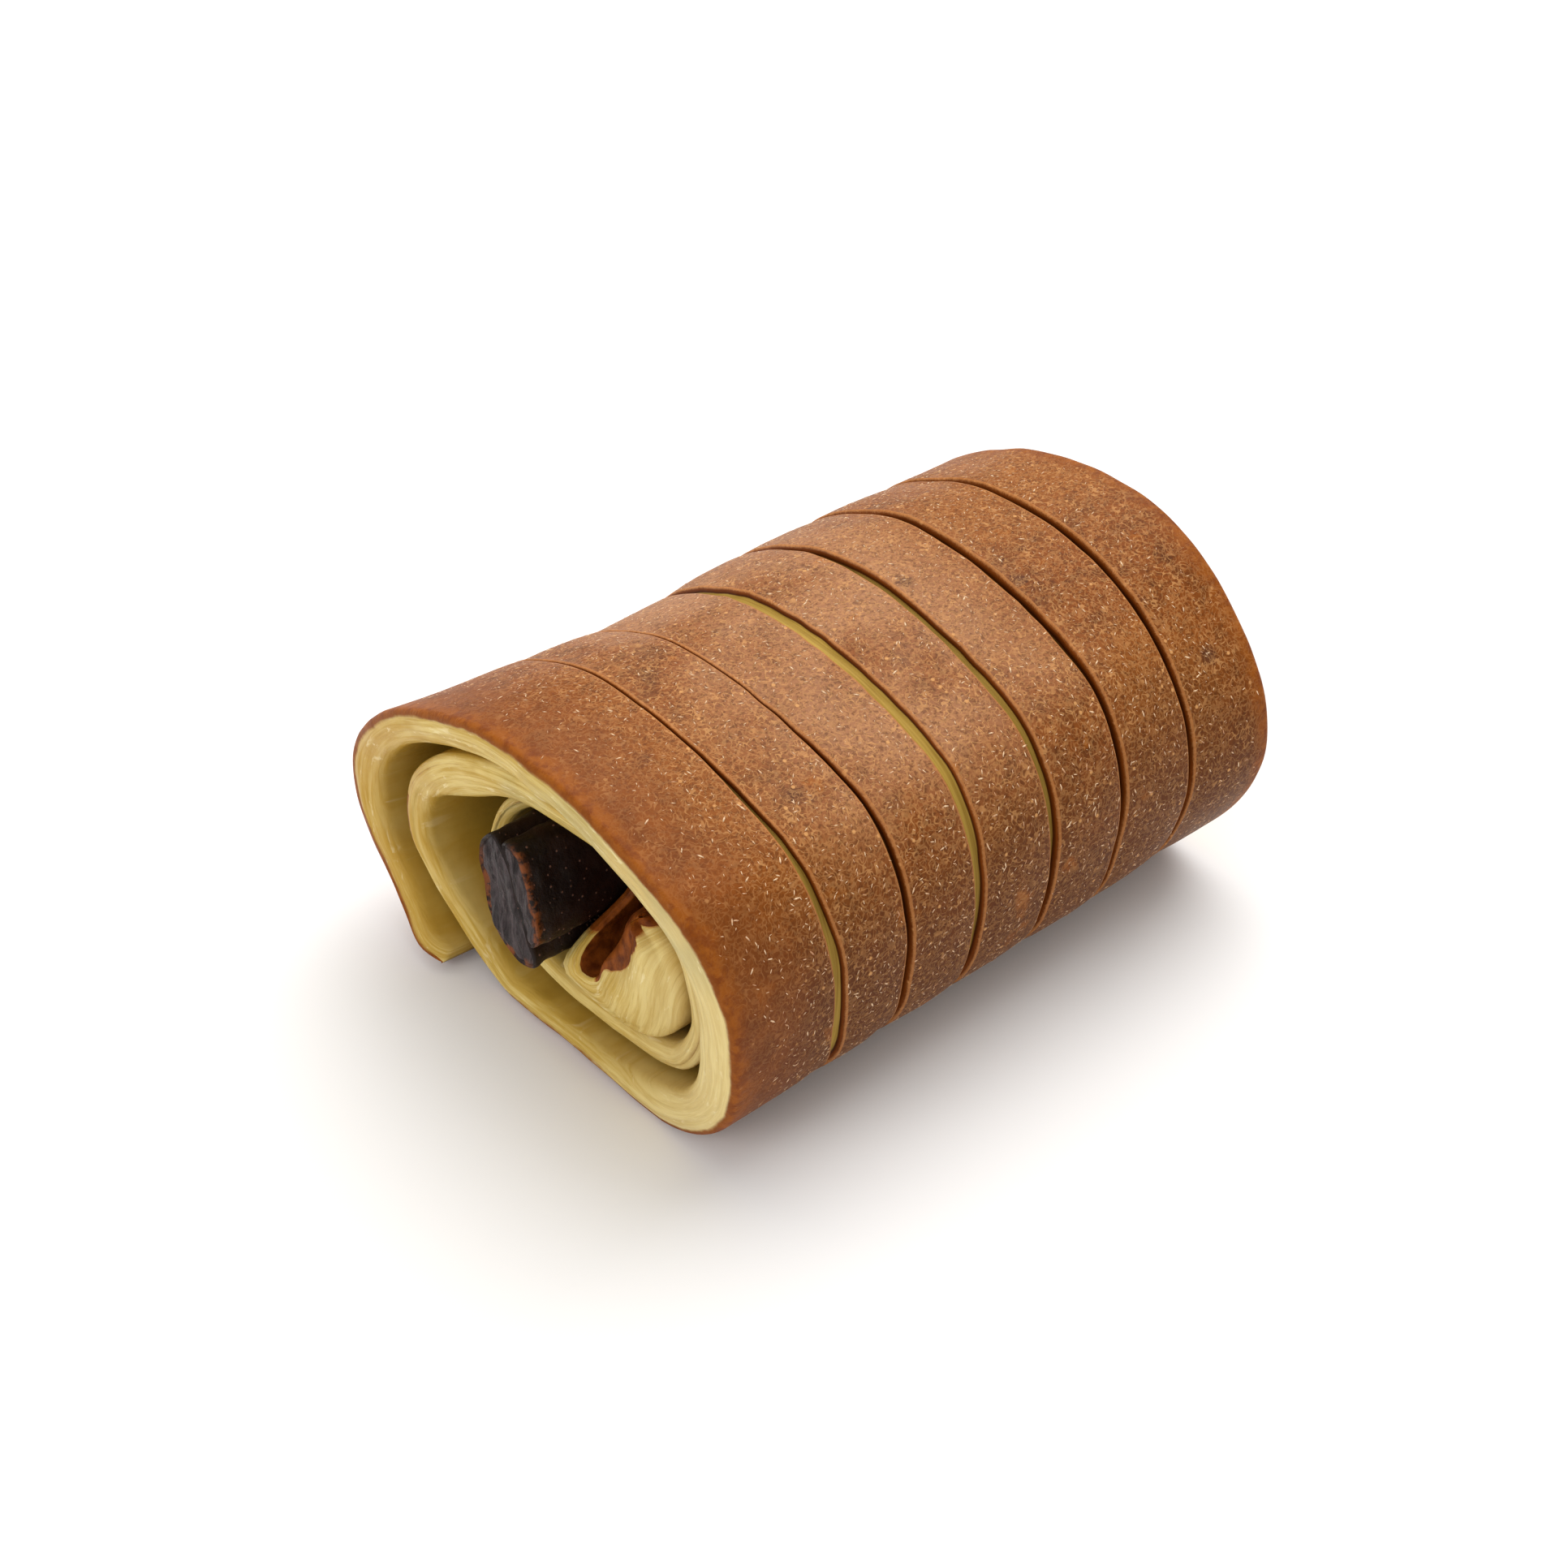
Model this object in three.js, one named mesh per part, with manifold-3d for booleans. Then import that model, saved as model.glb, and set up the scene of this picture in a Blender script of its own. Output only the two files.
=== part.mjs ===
// A pain au chocolat: one sheet of laminated dough rolled round two chocolate sticks, scored across its top.
// Millimetres. X runs along the roll, -X is the end where the sticks show best, Z is up, and the roll rests on Z = 0.
import * as THREE from "three";
import { mergeVertices } from "three/addons/utils/BufferGeometryUtils.js";
import Module from "manifold-3d";

// --- Driving dimensions ---------------------------------------------------------------------------------------
const FRONT_X = -54.6; // the cut end nearest the chocolate's noses, at the height and middle below
const BACK_X = 50.5; // the far cut end
const MIDDLE_Z = 26.6; // the height the ends and the knife cuts are placed at
const FRONT_YAW = -0.037; // slope of the front end in X for each millimetre of Y
const FRONT_LEAN = -0.066; // and for each millimetre of height
const BACK_LEAN = 0.07; // the far end leans out the same way
const BACK_SETBACK = 0.55; // the inner wraps sit back at the far end by this share of the front's
const BULGE = 0.17; // how much wider the flap's side is at the front end
const BULGE_FROM = 15; // counted from this Y outwards
const BULGE_REACH = 20; // and how far along the roll that fades

// The knife cuts: X at mid height, slope in X for each mm of Y, slope for each mm of height, width.
const SCORES = [
  [-35.0, -0.022, -0.058, 1.2], [-22.6, -0.029, -0.011, 1.0], [-8.4, -0.005, 0.005, 1.8],
  [6.2, -0.001, 0.025, 1.3], [20.3, 0.01, 0.049, 1.2], [35.0, 0.027, 0.069, 1.2],
];
const SCORE_DEPTH = 0.5; // share of the outer wrap's thickness
const SCORE_FROM = 4.2; // the cuts start on the flap, counted in stations of the sheet
const SCORE_TO = 15.6; // and end low on the far side
const SCORE_OVERSHOOT = 0.35; // how far a cutter stands out of the crust, as a share of the thickness

const STATION_STEPS = 2; // samples along the sheet for each station
const LENGTH_STEPS = 8; // samples along the roll

// The sheet's middle line, from the loose flap inwards: y, z, thickness, and how far its cut end sits back.
const WRAPS = [
  [24.3, 1.7, 4.4, -5.0], [29.4, 5.6, 4.8, -4.2], [35.0, 11.5, 5.0, -2.8], [40.6, 14.9, 5.2, -1.2],
  [44.1, 20.0, 5.2, 0], [42.8, 27.6, 5.2, 0], [38.9, 34.2, 5.4, 0], [31.6, 41.6, 5.8, 0],
  [21.0, 47.7, 6.0, 0], [8.0, 52.0, 6.2, 0], [-7.4, 51.9, 6.2, 0], [-18.8, 48.9, 6.8, 0],
  [-29.2, 44.0, 7.4, 0], [-34.2, 35.4, 7.8, 0], [-35.1, 25.0, 8.2, 0], [-32.6, 13.6, 8.0, 0],
  [-25.0, 4.9, 6.8, 0], [-12.6, 1.6, 5.4, 0], [4.0, 1.5, 5.4, 0], [16.0, 3.3, 4.6, 0],
  [24.2, 10.4, 4.2, 0], [30.0, 17.8, 4.0, 0], [31.5, 25.0, 4.0, 0], [27.6, 33.2, 5.0, 0.2],
  [18.6, 40.2, 7.4, 0.8], [7.0, 45.2, 5.8, 1.6], [-8.0, 44.9, 5.2, 3.0], [-18.2, 40.6, 4.6, 3.8],
  [-24.8, 31.8, 4.2, 4.0], [-26.4, 20.6, 4.2, 3.6], [-20.6, 10.5, 4.2, 3.5], [-8.2, 7.5, 4.0, 3.6],
  [4.4, 8.4, 4.0, 3.5], [13.6, 12.3, 3.4, 3.0], [17.2, 19.8, 2.6, 3.0], [16.2, 28.4, 2.6, 3.6],
  [13.2, 35.7, 2.6, 5.0], [6.4, 39.5, 2.6, 8.0], [-0.4, 38.4, 2.4, 13.0], [-2.2, 32.6, 2.4, 15.0],
  [-2.8, 26.2, 2.0, 13.0],
];
// The thick inner curl turns back on itself, so it is given as pairs of side points: y, z, y, z, end's set back.
const CURL = [
  [-3.4, 21.3, -0.3, 19.8, 4.0], [-3.9, 18.3, 0.8, 15.4, 1.4], [-5.2, 16.8, -2.2, 12.1, 1.8],
  [-6.8, 17.8, -10.2, 10.4, 2.2], [-7.4, 20.0, -17.6, 12.4, 2.6], [-8.2, 22.8, -22.2, 18.2, 3.1],
  [-9.2, 26.4, -23.6, 25.0, 3.3], [-10.9, 30.6, -22.2, 31.6, 3.6], [-13.8, 34.4, -18.6, 35.6, 4.2],
];

// The two sticks lie side by side, pressed together. Outlines are y, z in the section.
const STICK_FROM = -57.2; // the noses stand out of the front end
const STICK_TO = 50.4;
const WIDE_STICK = [
  [9.4, 36.2], [12.2, 33.2], [12.5, 29.4], [11.8, 25.6], [11.0, 20.8], [8.6, 17.8], [5.4, 16.2],
  [3.4, 16.4], [2.9, 18.6], [4.0, 22.0], [5.6, 27.6], [7.4, 34.4],
];
const NARROW_STICK = [
  [6.8, 36.6], [4.6, 37.4], [2.0, 36.0], [0.2, 31.2], [-0.8, 27.0], [-1.0, 23.6], [0.2, 21.2],
  [2.6, 20.4], [3.4, 22.6], [5.0, 28.0],
];
const NOSE_BEVEL = 0.8; // the sticks' broken edges
const BEVEL_STEPS = 1;

const CRUST = { color: 0x9a5f3c, roughness: 0.55, metalness: 0 };
const CHOCOLATE = { color: 0x2a1a16, roughness: 0.5, metalness: 0 };

const wasm = await Module();
wasm.setup();

// --- The sheet --------------------------------------------------------------------------------------------------
// A wrap's middle line and thickness become the same pairs of side points that the curl is given in.
function wrapPairs() {
  const middle = WRAPS.map(([y, z]) => new THREE.Vector2(y, z));
  return WRAPS.map(([y, z, thickness, recess], i) => {
    const before = middle[Math.max(i - 1, 0)];
    const after = middle[Math.min(i + 1, middle.length - 1)];
    const along = after.clone().sub(before).normalize();
    const out = new THREE.Vector2(along.y, -along.x).multiplyScalar(thickness / 2);
    return [y + out.x, z + out.y, y - out.x, z - out.y, recess];
  });
}

const PAIRS = [...wrapPairs(), ...CURL];
const sideCurve = (a, b, c) =>
  new THREE.CatmullRomCurve3(PAIRS.map((p) => new THREE.Vector3(p[a], p[b], p[c])), false, "catmullrom", 0.5);
const outerSide = sideCurve(0, 1, 4);
const innerSide = sideCurve(2, 3, 4);
const LAST_STATION = PAIRS.length - 1;

// A point of the dough: station along the sheet, share through it from crust to crumb, and place along the roll.
function doughPoint(station, through, x) {
  const outer = outerSide.getPoint(station / LAST_STATION);
  const inner = innerSide.getPoint(station / LAST_STATION);
  const z = THREE.MathUtils.lerp(Math.max(outer.y, 0), inner.y, through);
  const y = THREE.MathUtils.lerp(outer.x, inner.x, through);
  const squeeze = BULGE * (1 - Math.exp((FRONT_X - x) / BULGE_REACH));
  return new THREE.Vector3(x, y - squeeze * Math.max(y - BULGE_FROM, 0), Math.max(z, 0));
}

// X of the dough's front or far end at a station: the lean of the end, and how far that part of the sheet sits back.
function endX(station, front) {
  const side = outerSide.getPoint(station / LAST_STATION);
  const height = side.y - MIDDLE_Z;
  return front
    ? FRONT_X + FRONT_YAW * side.x + FRONT_LEAN * height + side.z
    : BACK_X + BACK_LEAN * height - BACK_SETBACK * side.z;
}

// A closed block with the sheet's own coordinates, cut into steps along the sheet and along the roll.
function sheetBlock(stations, xAt, xSteps, throughFrom, throughTo) {
  const at = (i, j, k) => {
    const station = stations[i];
    const through = k ? throughTo : throughFrom;
    return doughPoint(station, through, xAt(station, j / xSteps, through));
  };
  const points = [];
  const quad = (a, b, c, d) => points.push(a, c, b, a, d, c);
  const last = stations.length - 1;
  for (let i = 0; i < last; i += 1) {
    for (let j = 0; j < xSteps; j += 1) {
      quad(at(i, j, 0), at(i, j + 1, 0), at(i + 1, j + 1, 0), at(i + 1, j, 0));
      quad(at(i, j, 1), at(i + 1, j, 1), at(i + 1, j + 1, 1), at(i, j + 1, 1));
    }
    quad(at(i, 0, 0), at(i + 1, 0, 0), at(i + 1, 0, 1), at(i, 0, 1));
    quad(at(i, xSteps, 0), at(i, xSteps, 1), at(i + 1, xSteps, 1), at(i + 1, xSteps, 0));
  }
  for (let j = 0; j < xSteps; j += 1) {
    quad(at(0, j, 0), at(0, j, 1), at(0, j + 1, 1), at(0, j + 1, 0));
    quad(at(last, j, 0), at(last, j + 1, 0), at(last, j + 1, 1), at(last, j, 1));
  }
  return new THREE.BufferGeometry().setFromPoints(points);
}

const steps = (from, to, count) => Array.from({ length: count + 1 }, (_, i) => from + ((to - from) * i) / count);

// --- Solids -------------------------------------------------------------------------------------------------------
function solidOf(geometry) {
  const merged = mergeVertices(geometry, 1e-4);
  const solid = new wasm.Manifold(
    new wasm.Mesh({
      numProp: 3,
      vertProperties: merged.attributes.position.array,
      triVerts: new Uint32Array(merged.index.array),
    }),
  );
  return solid;
}

function geometryOf(solid) {
  const mesh = solid.getMesh();
  const geometry = new THREE.BufferGeometry();
  geometry.setAttribute("position", new THREE.BufferAttribute(new Float32Array(mesh.vertProperties), 3));
  geometry.setIndex(new THREE.BufferAttribute(new Uint32Array(mesh.triVerts), 1));
  geometry.computeVertexNormals();
  return geometry;
}

// The whole rolled sheet.
function rolledSheet() {
  const stations = steps(0, LAST_STATION, LAST_STATION * STATION_STEPS);
  const along = (station, share) => THREE.MathUtils.lerp(endX(station, true), endX(station, false), share);
  return solidOf(sheetBlock(stations, along, LENGTH_STEPS, 0, 1));
}

// One knife cut's cutter: it follows the crust round the roll, and stands a little out of it.
function scoreCutter([middle, yaw, lean, width]) {
  const stations = steps(SCORE_FROM, SCORE_TO, (SCORE_TO - SCORE_FROM) * STATION_STEPS);
  const along = (station, share) => {
    const side = outerSide.getPoint(station / LAST_STATION);
    return middle + yaw * side.x + lean * (side.y - MIDDLE_Z) + width * (share - 0.5);
  };
  return solidOf(sheetBlock(stations, along, 1, -SCORE_OVERSHOOT, SCORE_DEPTH));
}

function doughRoll() {
  return SCORES.reduce((dough, score) => dough.subtract(scoreCutter(score)), rolledSheet());
}

// A stick of chocolate along the roll, with broken edges at both noses.
function chocolateStick(outline) {
  const shape = new THREE.Shape(outline.map(([y, z]) => new THREE.Vector2(y, z)));
  const geometry = new THREE.ExtrudeGeometry(shape, {
    depth: STICK_TO - STICK_FROM - 2 * NOSE_BEVEL,
    bevelEnabled: true,
    bevelThickness: NOSE_BEVEL,
    bevelSize: NOSE_BEVEL,
    bevelOffset: -NOSE_BEVEL,
    bevelSegments: BEVEL_STEPS,
    steps: 1,
  });
  // The shape's x and y become the section's y and z, and the extrusion runs along X.
  geometry.applyMatrix4(new THREE.Matrix4().set(0, 0, 1, 0, 1, 0, 0, 0, 0, 1, 0, 0, 0, 0, 0, 1));
  geometry.translate(STICK_FROM + NOSE_BEVEL, 0, 0);
  return geometry;
}

function part(name, geometry, finish) {
  const mesh = new THREE.Mesh(geometry, new THREE.MeshStandardMaterial(finish));
  mesh.name = name;
  return mesh;
}

const painAuChocolat = new THREE.Group();
painAuChocolat.add(part("dough_roll", geometryOf(doughRoll()), CRUST));
painAuChocolat.add(part("chocolate_stick_wide", chocolateStick(WIDE_STICK), CHOCOLATE));
painAuChocolat.add(part("chocolate_stick_narrow", chocolateStick(NARROW_STICK), CHOCOLATE));

// The whole object's own middle, at its base, becomes the origin.
const box = new THREE.Box3().setFromObject(painAuChocolat);
const middle = box.getCenter(new THREE.Vector3());
painAuChocolat.children.forEach((mesh) => mesh.geometry.translate(-middle.x, -middle.y, -box.min.z));

export default painAuChocolat;
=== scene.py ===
"""A pain au chocolat: laminated dough rolled round two sticks of chocolate, scored and baked."""

import logging
import math
from dataclasses import dataclass, field
from enum import Enum

import bpy
import numpy as np
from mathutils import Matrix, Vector

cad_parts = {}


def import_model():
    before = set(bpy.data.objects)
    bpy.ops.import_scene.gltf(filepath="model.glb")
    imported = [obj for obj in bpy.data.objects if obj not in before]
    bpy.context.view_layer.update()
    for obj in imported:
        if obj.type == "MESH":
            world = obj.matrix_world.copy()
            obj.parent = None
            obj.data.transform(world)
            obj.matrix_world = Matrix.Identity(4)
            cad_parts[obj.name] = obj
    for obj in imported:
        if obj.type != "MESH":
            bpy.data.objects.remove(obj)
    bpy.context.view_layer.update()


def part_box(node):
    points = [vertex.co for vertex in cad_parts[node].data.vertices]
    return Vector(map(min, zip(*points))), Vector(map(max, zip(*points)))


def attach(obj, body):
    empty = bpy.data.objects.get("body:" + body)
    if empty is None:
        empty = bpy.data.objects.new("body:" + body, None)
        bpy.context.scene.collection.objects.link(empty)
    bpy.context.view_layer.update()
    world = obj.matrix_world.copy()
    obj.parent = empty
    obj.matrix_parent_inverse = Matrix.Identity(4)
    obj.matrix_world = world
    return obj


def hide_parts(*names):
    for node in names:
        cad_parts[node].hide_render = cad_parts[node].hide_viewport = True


LOG = logging.getLogger("pain_au_chocolat")
MM = 0.001
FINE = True


# --- Numbers over a surface -----------------------------------------------------------------------
class Unevenness:
    """Smooth repeatable randomness for hand-shaped dough, from -1 to 1."""

    def __init__(self, seed: int) -> None:
        """Keeps the seed.

        Args:
            seed: Any whole number.
        """
        self.seed = seed

    def _corner(self, i: np.ndarray, j: np.ndarray) -> np.ndarray:
        """The value at whole-number corners.

        Args:
            i: The corners' first coordinate.
            j: Their second coordinate.

        Returns:
            Values from -1 to 1.
        """
        h = i.astype(np.int64) * 374761393 + j.astype(np.int64) * 668265263
        h = (h + self.seed * 974634777) & 0xFFFFFFFF
        h = ((h ^ (h >> 13)) * 1274126177) & 0xFFFFFFFF
        h = h ^ (h >> 16)
        return (h & 0xFFFFFF) / float(0x7FFFFF) - 1.0

    def at(self, a: np.ndarray, b: np.ndarray) -> np.ndarray:
        """Smooth noise over a plane.

        Args:
            a: First coordinate, in feature sizes.
            b: Second coordinate.

        Returns:
            Values from -1 to 1.
        """
        a, b = np.broadcast_arrays(np.asarray(a, float), np.asarray(b, float))
        i, j = np.floor(a), np.floor(b)
        u, v = a - i, b - j
        u, v = u * u * (3 - 2 * u), v * v * (3 - 2 * v)
        low = self._corner(i, j) * (1 - u) + self._corner(i + 1, j) * u
        high = self._corner(i, j + 1) * (1 - u) + self._corner(i + 1, j + 1) * u
        return low * (1 - v) + high * v

    def rough(self, a: np.ndarray, b: np.ndarray, octaves: int = 3) -> np.ndarray:
        """Noise with finer noise on top.

        Args:
            a: First coordinate.
            b: Second coordinate.
            octaves: How many layers.

        Returns:
            Values from about -1 to 1.
        """
        total, weight = 0.0, 1.0
        for k in range(octaves):
            total = total + weight * self.at(a * 2**k + 17.3 * k, b * 2**k - 9.1 * k)
            weight *= 0.5
        return total / 1.6


def through_points(points: np.ndarray, places: np.ndarray, closed: bool = False) -> np.ndarray:
    """A smooth curve through points.

    Args:
        points: One row each.
        places: Where along it to read, counted in points.
        closed: True for a ring.

    Returns:
        One row for each place.
    """
    count = len(points) if closed else len(points) - 1
    if closed:
        ext = np.vstack([points[-1:], points, points[:2]])
    else:
        ext = np.vstack([2 * points[:1] - points[1:2], points, 2 * points[-1:] - points[-2:-1]])
    i = np.clip(np.floor(places).astype(int), 0, count - 1)
    w = (places - i)[:, None]
    p0, p1, p2, p3 = ext[i], ext[i + 1], ext[i + 2], ext[i + 3]
    t0, t1 = 0.5 * (p2 - p0), 0.5 * (p3 - p1)
    return p1 + t0 * w + (3 * (p2 - p1) - 2 * t0 - t1) * w**2 + (2 * (p1 - p2) + t0 + t1) * w**3


def ease(low: float, high: float, value: np.ndarray) -> np.ndarray:
    """0 below low, 1 above high, and smooth between."""
    w = np.clip((value - low) / (high - low), 0, 1)
    return w * w * (3 - 2 * w)


def bell(value: np.ndarray, middle: float, reach: float) -> np.ndarray:
    """1 at the middle, fading both ways."""
    return np.exp(-(((value - middle) / reach) ** 2))


# --- Meshes ---------------------------------------------------------------------------------------
class Body:
    """Vertices, faces and the numbers that the finish reads, gathered before they become a mesh."""

    def __init__(self, name: str) -> None:
        """Starts empty.

        Args:
            name: The piece's name.
        """
        self.name = name
        self.points: list[np.ndarray] = []
        self.faces: list[np.ndarray] = []
        self.loose: list[tuple[int, ...]] = []
        self.values: dict[str, list[np.ndarray]] = {}
        self.count = 0

    def add(self, points: np.ndarray, **values: np.ndarray) -> int:
        """Adds vertices in millimetres.

        Args:
            points: One row each.
            **values: One number, or one row of three, for each vertex.

        Returns:
            The first one's number.
        """
        first = self.count
        self.points.append(points.reshape(-1, 3))
        self.count += len(self.points[-1])
        for name, value in values.items():
            rows = np.asarray(value, float).reshape(len(self.points[-1]), -1)
            self.values.setdefault(name, []).append(rows)
        return first

    def rings(self, first: int, rows: int, width: int, closed: bool) -> None:
        """Joins neighbouring rows of vertices with quads.

        Args:
            first: The first vertex's number.
            rows: How many rows.
            width: Vertices in a row.
            closed: True where a row is a ring.
        """
        j = np.arange(width if closed else width - 1)
        k = (j + 1) % width
        base = first + np.arange(rows - 1)[:, None] * width
        quads = np.stack([base + j, base + k, base + width + k, base + width + j], -1)
        self.faces.append(quads.reshape(-1, 4))

    def strip(self, one: list[int], two: list[int], place: np.ndarray) -> None:
        """Fills between two edges whose vertices don't pair up.

        Args:
            one: Vertex numbers along the first edge.
            two: Along the second, the same way.
            place: Every vertex's place along them.
        """
        i = j = 0
        while i < len(one) - 1 or j < len(two) - 1:
            go_one = j == len(two) - 1 or (i < len(one) - 1 and place[one[i + 1]] <= place[two[j + 1]])
            if go_one:
                self.loose.append((one[i], one[i + 1], two[j]))
                i += 1
            else:
                self.loose.append((one[i], two[j + 1], two[j]))
                j += 1

    def finish(self, shift: Vector, finish: bpy.types.Material) -> bpy.types.Object:
        """Makes the mesh object, with its place in its mesh.

        Args:
            shift: What brings it into the shared frame, in metres.
            finish: Its material.

        Returns:
            The object.
        """
        mesh = bpy.data.meshes.new(self.name)
        points = np.vstack(self.points) * MM + np.array(shift)
        faces = [tuple(f) for block in self.faces for f in block.tolist()] + self.loose
        mesh.from_pydata(points.tolist(), [], faces)
        for name, blocks in self.values.items():
            data = np.vstack(blocks)
            kind = "FLOAT" if data.shape[1] == 1 else "FLOAT_VECTOR"
            layer = mesh.attributes.new(name, kind, "POINT")
            layer.data.foreach_set("value" if kind == "FLOAT" else "vector", data.astype(np.float32).ravel())
        mesh.validate()
        mesh.shade_smooth()
        mesh.materials.append(finish)
        piece = bpy.data.objects.new(self.name, mesh)
        bpy.context.scene.collection.objects.link(piece)
        return piece


# --- Shader maths ---------------------------------------------------------------------------------
def paint(code: str) -> tuple[float, float, float, float]:
    """A colour in linear light.

    Args:
        code: Six digits, two each for red, green and blue.

    Returns:
        Red, green, blue and full cover.
    """
    parts = [int(code[k : k + 2], 16) / 255 for k in (0, 2, 4)]
    linear = [p / 12.92 if p <= 0.04045 else ((p + 0.055) / 1.055) ** 2.4 for p in parts]
    return (linear[0], linear[1], linear[2], 1.0)


class Val:
    """A number from a shader socket, on which sums can be written."""

    def __init__(self, mix: "Recipe", socket: bpy.types.NodeSocket) -> None:
        """Wraps a socket.

        Args:
            mix: The recipe it belongs to.
            socket: An output.
        """
        self.mix = mix
        self.socket = socket

    def __add__(self, other: "Val | float") -> "Val":
        """Sum."""
        return self.mix.sum("ADD", self, other)

    def __sub__(self, other: "Val | float") -> "Val":
        """Difference."""
        return self.mix.sum("SUBTRACT", self, other)

    def __rsub__(self, other: float) -> "Val":
        """Difference."""
        return self.mix.sum("SUBTRACT", other, self)

    def __mul__(self, other: "Val | float") -> "Val":
        """Product."""
        return self.mix.sum("MULTIPLY", self, other)

    def size(self) -> "Val":
        """The number without its sign."""
        return self.mix.sum("ABSOLUTE", self)

    def most(self, other: "Val | float") -> "Val":
        """The larger of two."""
        return self.mix.sum("MAXIMUM", self, other)

    def ramp(self, low: float, high: float) -> "Val":
        """0 at low, 1 at high and smooth between.

        Args:
            low: Where it is 0. It may be the larger of the two.
            high: Where it is 1.

        Returns:
            The share.
        """
        settings = {"interpolation_type": "SMOOTHSTEP"}
        ends = (low, high, 0.0, 1.0) if low < high else (high, low, 1.0, 0.0)
        found = self.mix.node("ShaderNodeMapRange", settings, {0: self, **dict(enumerate(ends, 1))})
        return Val(self.mix, found.outputs[0])


class NodeBench:
    """A node tree under construction."""

    def __init__(self, tree: bpy.types.NodeTree) -> None:
        """Keeps the tree.

        Args:
            tree: Where the nodes go.
        """
        self.tree = tree

    def node(self, kind: str, settings: dict | None = None, inputs: dict | None = None) -> bpy.types.Node:
        """Adds a node.

        Args:
            kind: Its type.
            settings: Its own settings, set first.
            inputs: Values or links by socket name or number.

        Returns:
            The node.
        """
        made = self.tree.nodes.new(kind)
        for name, value in (settings or {}).items():
            setattr(made, name, value)
        for key, value in (inputs or {}).items():
            self.feed(made.inputs[key], value)
        return made

    def feed(self, socket: bpy.types.NodeSocket, value: object) -> None:
        """Links or sets a socket.

        Args:
            socket: An input.
            value: A Val, an output socket, a number, a colour or a vector.
        """
        if isinstance(value, Val):
            value = value.socket
        if isinstance(value, bpy.types.NodeSocket):
            self.tree.links.new(value, socket)
        else:
            socket.default_value = value


class Recipe(NodeBench):
    """A procedural material under construction."""

    def __init__(self, name: str) -> None:
        """Starts an empty material.

        Args:
            name: The material's name.
        """
        self.material = bpy.data.materials.new(name)
        self.material.use_nodes = True
        super().__init__(self.material.node_tree)
        self.tree.nodes.clear()
        self.place = self.node("ShaderNodeTexCoord").outputs["Object"]

    def sum(self, operation: str, a: object, b: object = None) -> Val:
        """A Math node on one or two numbers."""
        inputs = {0: a} if b is None else {0: a, 1: b}
        return Val(self, self.node("ShaderNodeMath", {"operation": operation}, inputs).outputs[0])

    def read(self, name: str) -> Val:
        """A number that the mesh carries."""
        return Val(self, self.node("ShaderNodeAttribute", {"attribute_name": name}).outputs["Fac"])

    def read_vector(self, name: str) -> bpy.types.NodeSocket:
        """A vector that the mesh carries."""
        return self.node("ShaderNodeAttribute", {"attribute_name": name}).outputs["Vector"]

    def stretch(self, vector: bpy.types.NodeSocket, by: tuple[float, float, float]) -> bpy.types.NodeSocket:
        """A vector scaled on each axis."""
        return self.node("ShaderNodeVectorMath", {"operation": "MULTIPLY"}, {0: vector, 1: by}).outputs[0]

    def noise(
        self, scale: float, detail: float = 2.0, rough: float = 0.5, twist: float = 0.0, where: object = None
    ) -> Val:
        """Cloudy noise from 0 to 1.

        Args:
            scale: Features in each metre, or in each unit of where.
            detail: Finer layers.
            rough: How strong those are.
            twist: Distortion.
            where: Coordinates, or None for the piece's own.

        Returns:
            The noise.
        """
        inputs = {"Vector": where or self.place, "Scale": scale, "Detail": detail, "Roughness": rough}
        inputs["Distortion"] = twist
        return Val(self, self.node("ShaderNodeTexNoise", {"noise_dimensions": "3D"}, inputs).outputs[0])

    def dots(self, scale: float) -> tuple[Val, Val]:
        """Scattered cells.

        Args:
            scale: Cells in each metre.

        Returns:
            Distance from the nearest cell's middle, and a number that differs from cell to cell.
        """
        inputs = {"Vector": self.place, "Scale": scale, "Randomness": 1.0}
        found = self.node("ShaderNodeTexVoronoi", {"feature": "F1"}, inputs)
        parted = self.node("ShaderNodeSeparateColor", {}, {0: found.outputs["Color"]})
        return Val(self, found.outputs["Distance"]), Val(self, parted.outputs[0])

    def blend(self, share: object, a: object, b: object) -> bpy.types.NodeSocket:
        """A colour between two.

        Args:
            share: 0 for a, 1 for b.
            a: A colour code, colour or output.
            b: The same.

        Returns:
            The colour.
        """
        a = paint(a) if isinstance(a, str) else a
        b = paint(b) if isinstance(b, str) else b
        settings = {"data_type": "RGBA", "blend_type": "MIX", "clamp_factor": True}
        return self.node("ShaderNodeMix", settings, {0: share, 6: a, 7: b}).outputs[2]

    def split(self, vector: bpy.types.NodeSocket) -> tuple[Val, Val, Val]:
        """The three numbers of a vector."""
        parted = self.node("ShaderNodeSeparateXYZ", {}, {0: vector})
        return tuple(Val(self, parted.outputs[k]) for k in range(3))

    def relief(self, height: Val, depth: float, under: object = None) -> bpy.types.NodeSocket:
        """A bump.

        Args:
            height: Its height, from 0 to 1.
            depth: What 1 stands for, in metres.
            under: Another bump beneath it.

        Returns:
            The normal.
        """
        inputs = {"Height": height, "Distance": depth, "Strength": 1.0}
        if under is not None:
            inputs["Normal"] = under
        return self.node("ShaderNodeBump", {}, inputs).outputs[0]

    def surface(self, constants: dict, varying: dict) -> bpy.types.Material:
        """Ends the material in its shader.

        Args:
            constants: Socket values that hold all over.
            varying: Links that change over the surface.

        Returns:
            The material.
        """
        shader = self.node("ShaderNodeBsdfPrincipled", {}, {**constants, **varying})
        self.node("ShaderNodeOutputMaterial", {}, {"Surface": shader.outputs[0]})
        return self.material


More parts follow.
